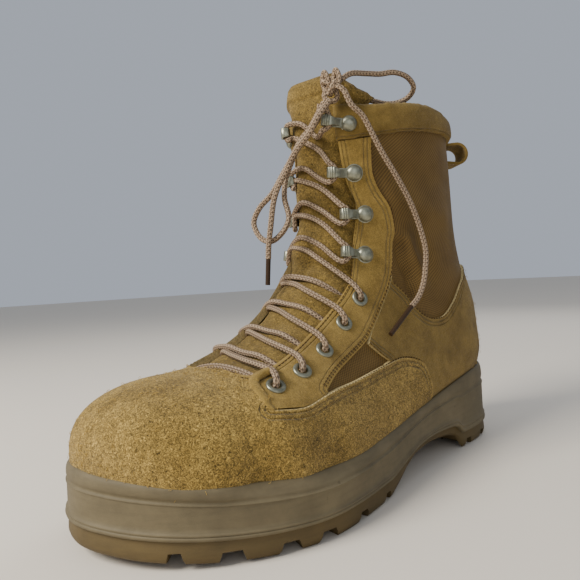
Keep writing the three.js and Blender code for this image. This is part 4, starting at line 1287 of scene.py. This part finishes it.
# Corners of the pull loop's section: across, and away from the inside of its fold
LOOP_CORNERS = [
    (-1, 1), (-0.96, 1.05), (0, 1.12), (0.96, 1.05), (1, 1), (1.02, 0), (1, -1), (0.96, -1.0), (0, -1),
    (-0.96, -1.0), (-1, -1), (-1.02, 0)]
LOOP_SEAM = 1.695


def build_loop():
    """Folded suede loop, its tunnel turned to the lateral side"""
    high, reach = (LOOP_RISE - LOOP_WALL) / 2, LOOP_REACH - LOOP_RISE / 2
    shares = (0.25, 0.5, 0.75, 1.0)
    low = [(reach * s, -high * (1 - 0.12 * math.sin(math.pi * s))) for s in shares]
    bend = [(reach + high * 1.02 * math.sin(a), -high * math.cos(a))
        for a in np.linspace(0.2, math.pi - 0.2, 14)]
    path = [(0, -high), *low, *bend, *[(u, -w) for u, w in reversed(low)], (0, high)]
    bm = band([(u, w, LOOP_WIDTH / 2) for u, w in path], LOOP_CORNERS, LOOP_WALL)
    back = curve(LAST_ROWS["back_up"][6:], LAST_ROWS["back_along"][6:])
    base = Vector((0, float(y_of(back(LOOP_SEAM))) - 6, float(z_of(LOOP_SEAM)) + 2.5))
    turn = math.radians(LOOP_TURN)
    out = Vector((math.sin(turn), math.cos(turn), 0))
    bm.transform(Matrix.Translation(base) @ turned(out, Vector((-out.y, out.x, 0)), Vector((0, 0, 1))))
    return make_piece("heel_loop", bm, "cuff", ["pull_loop"], 50)


# Fittings

def lathe(profile, steps):
    """Turned shape from a profile of radius and height"""
    bm = bmesh.new()
    verts = [bm.verts.new((radius, 0, height)) for radius, height in profile]
    edges = [bm.edges.new(pair) for pair in zip(verts, verts[1:])]
    bmesh.ops.spin(bm, geom=verts + edges, cent=(0, 0, 0), axis=(0, 0, 1), angle=2 * math.pi, steps=steps,
                   use_merge=True)
    bmesh.ops.remove_doubles(bm, verts=bm.verts, dist=0.001)
    bmesh.ops.recalc_face_normals(bm, faces=bm.faces)
    return bm


def seated(bm, k, side):
    place, towards, _, normal = fastener_axes(k, side)
    bm.transform(Matrix.Translation(place) @ turned(towards, normal.cross(towards), normal))
    return bm


def build_eyelets():
    inside = EYELET_HOLE + 0.1
    turn = np.linspace(math.pi * 0.95, 0, 9)
    middle, half = (EYELET_RADIUS + EYELET_HOLE) / 2, (EYELET_RADIUS - EYELET_HOLE) / 2
    rim = [(inside, -3.9), (inside, -0.2)]
    rim += [(middle + half * math.cos(a), 0.05 + 1.15 * math.sin(a) ** 0.8) for a in turn]
    rim += [(inside + 0.6, -0.1), (inside + 0.6, -3.9), (inside, -3.9)]
    parts = [seated(lathe(rim, 28), k, side) for k in range(EYELETS) for side in (1, -1)]
    nodes = [f"eyelet_{side}_{k + 1}" for k in range(EYELETS) for side in ("lateral", "medial")]
    return make_piece("eyelet_rings", joined(parts), "metal", nodes, 50)


# Centre line of a hook's strap, towards the throat and away from the boot, with its half width
HOOK_ROWS = [
    [-1.0, 0.9, 2.6], [2.5, 0.95, 2.5], [5.2, 1.2, 2.2], [7.2, 2.4, 2.1], [9.0, 4.0, 2.2], [10.6, 5.0, 2.6],
    [12.0, 5.3, 3.1], [12.7, 5.7, 3.3], [13.4, 5.2, 3.3], [14.1, 5.7, 3.3], [14.8, 5.2, 3.3],
    [15.4, 5.6, 3.3],
    [16.0, 5.0, 3.2], [16.4, 4.0, 3.1], [16.4, 2.4, 3.0], [16.0, 1.2, 2.9], [14.6, 0.75, 2.9],
    [9.0, 0.55, 2.9],
    [4.0, 0.5, 2.9],
]
HOOK_CORNERS = [
    (-0.92, -1), (0.92, -1), (1, -0.6), (1, 0.6), (0.92, 1), (-0.92, 1), (-1, 0.6), (-1, -0.6)]

# Profiles of a hook's rivet and washer, as rows of radius and height
DOME_ROWS = [
    (0, 3.5), (1.2, 3.45), (2.4, 3.2), (3.5, 2.7), (4.3, 2.0), (4.8, 1.3), (HOOK_DOME, 0.9), (4.8, 0.6),
    (4.5, 0.5), (4.5, 0.1), (0, 0.1)]
WASHER_ROWS = [(5.5, 0.05), (5.5, 0.35), (5.2, 0.5), (0, 0.5)]


def hook_shape():
    strap = band(rounded_line(HOOK_ROWS, 3), HOOK_CORNERS, 1.0)
    return joined([strap, lathe(DOME_ROWS, 28), lathe(WASHER_ROWS, 28)])


def build_hooks():
    parts = [seated(hook_shape(), k, side) for k in range(EYELETS, len(FASTENERS)) for side in (1, -1)]
    nodes = [f"hook_{side}_{k + 1}" for k in range(len(FASTENERS) - EYELETS)
        for side in ("lateral", "medial")]
    return make_piece("lace_hooks", joined(parts), "metal", nodes, 40)


# Lace

def over_tongue(station, share, height):
    """Place over the tongue: share -1 is the medial and 1 the lateral edge of the throat"""
    side = 1 if share >= 0 else -1
    x = abs(share) * throat_x(station, side)
    return over_last(station, x, TONGUE_OUT + height + tongue_lift(station, x))[0]


# Where the lace passes a fastener: offsets to the throat, along and away from its seat
LACE_BAR = [(0, 0, 2.2), (0, 0, -1.5), (1.5, 0, -5.0)]
MEDIAL_EYELET = [(0, 0, -2), (0.3, 0, 1.5), (3.0, -0.3, 2.9), (6.2, -0.8, 2.2)]
MEDIAL_HOOK = [(15.5, -5.2, 1.8), (12.4, -3.2, 2.6), (11.2, 0, 2.7), (12.4, 3.2, 2.6), (15.5, 4.6, 1.6)]
LATERAL_EYELET = [
    (0.4, 0, -5.2), (0, 0, -1.5), (0.2, 0.1, 1.4), (1.6, 0.9, 3.2), (4.4, 2.4, 3.1), (8.0, 4.4, 1.9)]
LATERAL_HOOK = [(15.6, -5.6, 1.2), (12.6, -3.6, 2.5), (11.2, 0, 2.7), (12.6, 3.4, 2.6), (15.2, 5.4, 1.8)]

# Where it crosses the tongue: step of the station, share of the throat, height, and whether the
# lace's radius is added to it; on its way up the step is a share of the way to the next fastener
BAR_CROSSING = [(-0.09, -0.9, -1.5, 1), (-0.05, 0, 0.4, 1), (-0.01, 0.9, -0.5, 1)]
EYELET_CROSSING = [
    (-0.05, -0.55, 2.6, 1), (-0.1, 0.0, 0.8, 1), (-0.15, 0.55, 0.3, 1), (-0.12, 1.0, -1.0, 0),
    (-0.08, 1.15, -2.2, 0)]
HOOK_CROSSING = [(0.1, -0.35, 1.6, 1), (-0.32, 0.25, 0.8, 1)]
CLIMB = [(0.42, 0.35, 1.6, 1), (0.66, -0.2, 1.0, 1), (0.86, -0.75, 0.2, 1), (1, -1.2, -1.5, 0)]


def lace_run_path(radius):
    """The lace from the bottom bar up: at each level it comes over the medial edge, goes under the
    lateral edge and out there, and climbs across under the medial edge of the next level"""
    def passing(k, side, rows):
        return [fastener_place(k, side, *row) for row in rows]

    def crossing(station, rows, scale=1.0):
        return [over_tongue(station + step * scale, share, height + radius * lifted)
                for step, share, height, lifted in rows]

    stations = [station for station, _ in FASTENERS]
    last = len(FASTENERS) - 1
    path = passing(0, -1, LACE_BAR) + crossing(stations[0], BAR_CROSSING)
    for k, station in enumerate(stations):
        low = k < EYELETS
        if k > 0:
            path += passing(k, -1, MEDIAL_EYELET if low else MEDIAL_HOOK)
            path += crossing(station, EYELET_CROSSING if low else HOOK_CROSSING)
        path += passing(k, 1, LATERAL_EYELET if low else LATERAL_HOOK[:4 if k == last else 5])
        if k < last:
            path += crossing(station, CLIMB[:4 if k + 1 < EYELETS else 3], stations[k + 1] - station)
    return path + [Vector((20, -116.5, 226)), Vector((21, -116, 231))]


FREE_ROUTES = {
    "long_loop": [
        [18, -118.9, 227.5], [14, -118, 219], [0, -119, 210], [-8, -121, 199], [-12, -125, 190],
        [-18, -130, 178],
        [-26, -134, 170], [-30, -136, 161], [-24, -136, 151], [-15, -135, 148], [-6, -133, 153],
        [-2, -131, 161],
        [-5, -131, 174], [-6, -128, 186], [-2, -125, 198], [4, -124, 207], [13, -124, 213],
        [22, -119.8, 227.4]],
    "back_loop": [
        [25.5, -107.8, 242.2], [27, -100, 247], [29, -88, 249], [32, -78, 250], [36, -68, 252],
        [39, -58, 250],
        [39, -52, 245], [34, -50, 241], [29, -53, 238], [25, -62, 236], [23, -75, 236], [21, -88, 237],
        [20, -96, 241], [19, -102, 247], [19.2, -108.5, 244.3]],
    "side_end": [
        [31.8, -112.1, 233.2], [34, -109, 225], [37, -103, 219], [39, -98, 210], [41, -92, 199],
        [44, -83, 185],
        [46, -72, 169], [47, -64, 153], [48, -60, 138], [48, -61, 127], [48, -64, 117], [48, -70, 108.5],
        [48, -78, 103]],
    "front_end": [
        [25.9, -118.7, 227.9], [23, -127, 217], [18, -129, 209], [10, -130, 203], [3, -131, 196],
        [0, -133, 189],
        [-4, -136, 181], [-7, -138, 172], [-10, -139, 157], [-13, -139, 145], [-14, -139, 137]],
}
TIP_ROUTES = {
    "side_tip": [[48, -78, 103], [48, -89, 95.5], [48, -100, 88]],
    "front_tip": [[-14, -139, 137], [-15, -139, 129], [-16, -139, 121]],
}

# Nodes that the tips and the free cords stand for, and how each cord ends
TIP_NODES = {"side_tip": "aglet_lateral", "front_tip": "aglet_front"}
CORD_ENDS = {
    "long_loop": ("lace_loop_long", "knot", None),
    "back_loop": ("lace_loop_back", "knot", None),
    "side_end": ("lace_end_lateral", "fitting", "side_tip"),
    "front_end": ("lace_end_front", "fitting", "front_tip"),
}
KNOT = Vector((22, -113.5, 236))
KNOT_TAIL = [[21, -115, 233], [26, -115.2, 236.4], [30, -113.6, 235.2], [32.2, -111.8, 232.4]]
KNOT_EARS = ((19.5, -1.0), (26.5, 1.4))
LACE_STEP = 1.3


def build_lace_run(radius):
    path = spaced(rounded_line([list(p) for p in lace_run_path(radius)], 8), LACE_STEP)
    nodes = ["lace_bar"] + [f"lace_crossing_{k}" for k in range(1, len(FASTENERS))]
    return make_piece("lace_run", tube(path, radius), "braid", nodes, 70)


def build_knot(radius):
    """Tight bow knot: a trefoil turn with two short ears standing on it"""
    loop = [KNOT + Vector((1.9 * (math.sin(t) + 2 * math.sin(2 * t)), -3.0 * math.sin(3 * t),
                           2.3 * (math.cos(t) - 2 * math.cos(2 * t))))
                               for t in np.linspace(0, 2 * math.pi, 91)]
    ears = [rounded_line([
        [x - 1.5, -114, 236], [x - 2.2, -114 + lean, 242], [x, -114.5 + lean, 246.5],
        [x + 2.2, -114 + lean, 242], [x + 1.2, -113.5, 235]], 8) for x, lean in KNOT_EARS]
    parts = [tube(loop, radius * 0.95), tube(rounded_line(KNOT_TAIL, 8), radius * 0.97)]
    parts += [tube(ear, radius * 0.9) for ear in ears]
    return make_piece("bow_knot", joined(parts), "braid", ["lace_knot"], 70)


def build_free_laces(radius):
    for name, route in TIP_ROUTES.items():
        bm = tube(spaced(rounded_line(route, 6), 1.5), radius * 0.86)
        make_piece(name, bm, "aglet", [TIP_NODES[name]], 60)
    for name, (node_name, far_end, tip) in CORD_ENDS.items():
        path = spaced(rounded_line(FREE_ROUTES[name], 8), LACE_STEP)
        piece = make_piece(name, tube(path, radius), "braid", [node_name], 70)


# Stitching

def build_stitching(pitch):
    rows = []
    for side in (1, -1):
        for line, insets, lift in (
                (side_line(WING_TOP, side), (-2.6, -5.2), VAMP_LIFT),
                (side_line(STAY_BACK, side), (2.3, 4.7), 0),
                (throat_line(side, 0.95, 10.3), (-2.6,), 0),
                (side_line(COUNTER_TOP[:70], side), (-2.3, -4.7), 0),
                (side_line(WINDOW, side), (2.3,), 0),
                (side_line(CUFF_BOTTOM[6:], side), (2.2,), CUFF_PAD)):
            rows += [stitches(line, inset * side, pitch, lift) for inset in insets]
    return make_piece("stitching", joined(rows), "thread", [], 80)


# Loose fibres

# Fibres over parts of the boot: how many, their stations, their columns as shares around, length and height
FIBRE_ROWS = [
    (340, (-0.97, 1.0), (0.0, 0.30), (1.2, 2.8), 0.9), (120, (-0.97, 1.0), (0.72, 1.0), (1.0, 2.2), 0.9),
    (120, (5.5, 9.0), (0.38, 0.52), (1.2, 3.2), 0.0),
]


def build_fibres(seed):
    """Hairs that stand off the brushed suede"""
    chance = random.Random(seed)
    parts = []
    for count, stations, shares, lengths, height in FIBRE_ROWS:
        for _ in range(count):
            station, column = chance.uniform(*stations), int(chance.uniform(*shares) * AROUND)
            place = Vector(dressed_at(station, column, height))
            normal = (Vector(dressed_at(station, column, height + 1)) - place).normalized()
            lean = Vector([chance.uniform(-1, 1) for _ in range(3)])
            lean = (lean - normal * lean.dot(normal)).normalized()
            curl = normal.cross(lean) * chance.uniform(-0.8, 0.8)
            length, rise = chance.uniform(*lengths), chance.uniform(0.15, 0.7)
            path = [place + (lean * u + curl * u * u + normal * (rise * math.sin(u * 2.6) - 0.05)) * length
                    for u in (0, 0.25, 0.5, 0.75, 1.0)]
            parts.append(tube(path, chance.uniform(0.07, 0.12), 3))
    return make_piece("stray_fibres", joined(parts), "fibre", [], 180)


# Stage

VIEW_PLACE = Vector((0.2584, -0.3667, 0.1236))
VIEW_TARGET = Vector((0.0, -0.105, 0.110))
VIEW_ROLL = math.radians(-3.0)
VIEW_LENS = 35.40
VIEW_SHIFT = (-0.0608, 0.0153)


def build_camera():
    camera = bpy.data.cameras.new("camera")
    camera.lens = VIEW_LENS
    camera.sensor_width = 36
    camera.shift_x, camera.shift_y = VIEW_SHIFT
    camera.clip_start = 0.01
    holder = bpy.data.objects.new("camera", camera)
    forward = (VIEW_TARGET - VIEW_PLACE).normalized()
    right = forward.cross(Vector((0, 0, 1))).normalized()
    up = right.cross(forward)
    side = right * math.cos(VIEW_ROLL) + up * math.sin(VIEW_ROLL)
    top = -right * math.sin(VIEW_ROLL) + up * math.cos(VIEW_ROLL)
    holder.matrix_world = Matrix.Translation(VIEW_PLACE) @ turned(side, top, -forward)
    bpy.context.scene.collection.objects.link(holder)
    bpy.context.scene.camera = holder


def build_light(name, place, target, size, power, colour):
    light = bpy.data.lights.new(name, "AREA")
    light.shape = "RECTANGLE"
    light.size, light.size_y = size
    light.energy = power
    light.color = colour
    holder = bpy.data.objects.new(name, light)
    holder.location = place
    holder.rotation_euler = (Vector(target) - Vector(place)).to_track_quat("-Z", "Y").to_euler()
    bpy.context.scene.collection.objects.link(holder)


def build_stage_set(boot):
    bm = bmesh.new()
    bmesh.ops.create_grid(bm, x_segments=1, y_segments=1, size=6)
    material = bpy.data.materials.new("pale floor")
    material.use_nodes = True
    shader = material.node_tree.nodes["Principled BSDF"]
    shader.inputs["Base Color"].default_value = (*boot.floor, 1)
    shader.inputs["Roughness"].default_value = 0.9
    as_object("floor", bm, material)
    world = bpy.data.worlds.new("studio")
    world.use_nodes = True
    backdrop = world.node_tree.nodes["Background"]
    backdrop.inputs["Color"].default_value = (*srgb("c6cedb"), 1)
    backdrop.inputs["Strength"].default_value = 0.72
    bpy.context.scene.world = world
    build_light("key", (-0.25, -1.15, 0.95), (0, -0.12, 0.10), (0.6, 0.6), 27, (1.0, 0.97, 0.90))
    build_light("fill", (1.1, -0.9, 0.5), (0, -0.1, 0.1), (1.0, 1.0), 3.2, (0.95, 0.97, 1.0))
    build_light("back", (-0.3, 0.9, 0.9), (0, -0.1, 0.15), (0.8, 0.8), 4, (0.95, 0.97, 1.0))


# Add-on

def size_setting(name, description, default):
    return FloatProperty(name=name, description=description, default=default, unit="LENGTH")


def colour_setting(name, description, code):
    return FloatVectorProperty(name=name, description=description, subtype="COLOR", default=srgb(code))


class BootSettings(bpy.types.PropertyGroup):
    """Sizes and colours of the boot"""
    lace: size_setting("Lace", "Diameter of the lace", 0.0035)
    stitch: size_setting("Stitch", "Pitch of the stitches", 0.0027)
    nap: size_setting("Nap", "Size of the suede's flecks", 0.0012)
    yarn_pitch: size_setting("Yarn", "Spacing of the nylon's yarns", 0.0019)
    seed: IntProperty(name="Seed", description="Seed of the loose fibres", default=7)
    suede: colour_setting("Suede", "Colour of the suede", "93793f")
    cut_edge: colour_setting("Cut edge", "Colour of cut suede edges", "cbb682")
    nylon: colour_setting("Nylon", "Colour of the nylon", "6b5329")
    thread: colour_setting("Thread", "Colour of the stitches", "4a3519")
    wall_rubber: colour_setting("Cup", "Colour of the cup's rubber", "655a42")
    tread_rubber: colour_setting("Tread", "Colour of the tread's rubber", "564729")
    metal: colour_setting("Metal", "Colour of eyelets and hooks", "8a8a78")
    braid: colour_setting("Braid", "Colour of the lace", "8c7862")
    floor: colour_setting("Floor", "Colour of the floor", "ddd3c4")


class BuildMaterials(bpy.types.Operator):
    """Make the suede, nylon, rubber, metal and lace materials"""
    bl_idname = "boot.materials"
    bl_label = "Materials"

    def execute(self, context):
        make_materials(context.scene.boot)
        return {"FINISHED"}


class BuildSole(bpy.types.Operator):
    """Make the rubber cup and the lugged tread"""
    bl_idname = "boot.sole"
    bl_label = "Sole"

    def execute(self, context):
        build_cup()
        build_tread()
        return {"FINISHED"}


class BuildUpper(bpy.types.Operator):
    """Make the nylon shell and the suede panels over it"""
    bl_idname = "boot.upper"
    bl_label = "Upper"

    def execute(self, context):
        build_shell()
        build_vamp()
        build_counter()
        build_stay(1, "stay_lateral_suede", "eyestay_lateral")
        build_stay(-1, "stay_medial_suede", "eyestay_medial")
        build_tab()
        build_backstay()
        return {"FINISHED"}


class BuildSoftParts(bpy.types.Operator):
    """Make the tongue, the padded collar and the pull loop"""
    bl_idname = "boot.soft_parts"
    bl_label = "Tongue, collar and loop"

    def execute(self, context):
        build_tongue()
        build_collar()
        build_loop()
        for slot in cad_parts["insole"].material_slots:
            slot.material = MATERIALS["felt"]
        return {"FINISHED"}


class BuildFittings(bpy.types.Operator):
    """Make the eyelets and the lace hooks"""
    bl_idname = "boot.fittings"
    bl_label = "Fittings"

    def execute(self, context):
        build_eyelets()
        build_hooks()
        return {"FINISHED"}


class BuildLace(bpy.types.Operator):
    """Run the lace through eyelets and hooks and tie its bow"""
    bl_idname = "boot.lace"
    bl_label = "Lace"

    def execute(self, context):
        radius = context.scene.boot.lace / MM / 2
        build_free_laces(radius)
        build_lace_run(radius)
        build_knot(radius)
        return {"FINISHED"}


class BuildStitching(bpy.types.Operator):
    """Sew the rows of stitches along the panels and raise loose fibres"""
    bl_idname = "boot.stitching"
    bl_label = "Stitching"

    def execute(self, context):
        build_stitching(context.scene.boot.stitch / MM)
        build_fibres(context.scene.boot.seed)
        return {"FINISHED"}


class BuildStage(bpy.types.Operator):
    """Set up the camera, the floor and soft light"""
    bl_idname = "boot.stage"
    bl_label = "Stage"

    def execute(self, context):
        build_camera()
        build_stage_set(context.scene.boot)
        return {"FINISHED"}


class BootPanel(bpy.types.Panel):
    """Sizes, colours and steps of the boot"""
    bl_idname = "VIEW3D_PT_boot"
    bl_label = "Boot"
    bl_space_type = "VIEW_3D"
    bl_region_type = "UI"
    bl_category = "Boot"

    def draw(self, context):
        column = self.layout.column()
        for name in BootSettings.__annotations__:
            column.prop(context.scene.boot, name)
        for step in STEPS:
            column.operator(step.bl_idname)


STEPS = (BuildMaterials, BuildStage, BuildLace, BuildSole, BuildUpper, BuildSoftParts, BuildFittings,
    BuildStitching)


def register():
    for item in (BootSettings, *STEPS, BootPanel):
        bpy.utils.register_class(item)
    bpy.types.Scene.boot = PointerProperty(type=BootSettings)


def unregister():
    del bpy.types.Scene.boot
    for item in reversed((BootSettings, *STEPS, BootPanel)):
        bpy.utils.unregister_class(item)


def main():
    register()
    bpy.ops.boot.materials()
    bpy.ops.boot.stage()
    bpy.ops.boot.lace()
    bpy.ops.boot.sole()
    bpy.ops.boot.upper()
    bpy.ops.boot.soft_parts()
    bpy.ops.boot.fittings()
    bpy.ops.boot.stitching()


if __name__ == "__main__":
    main()
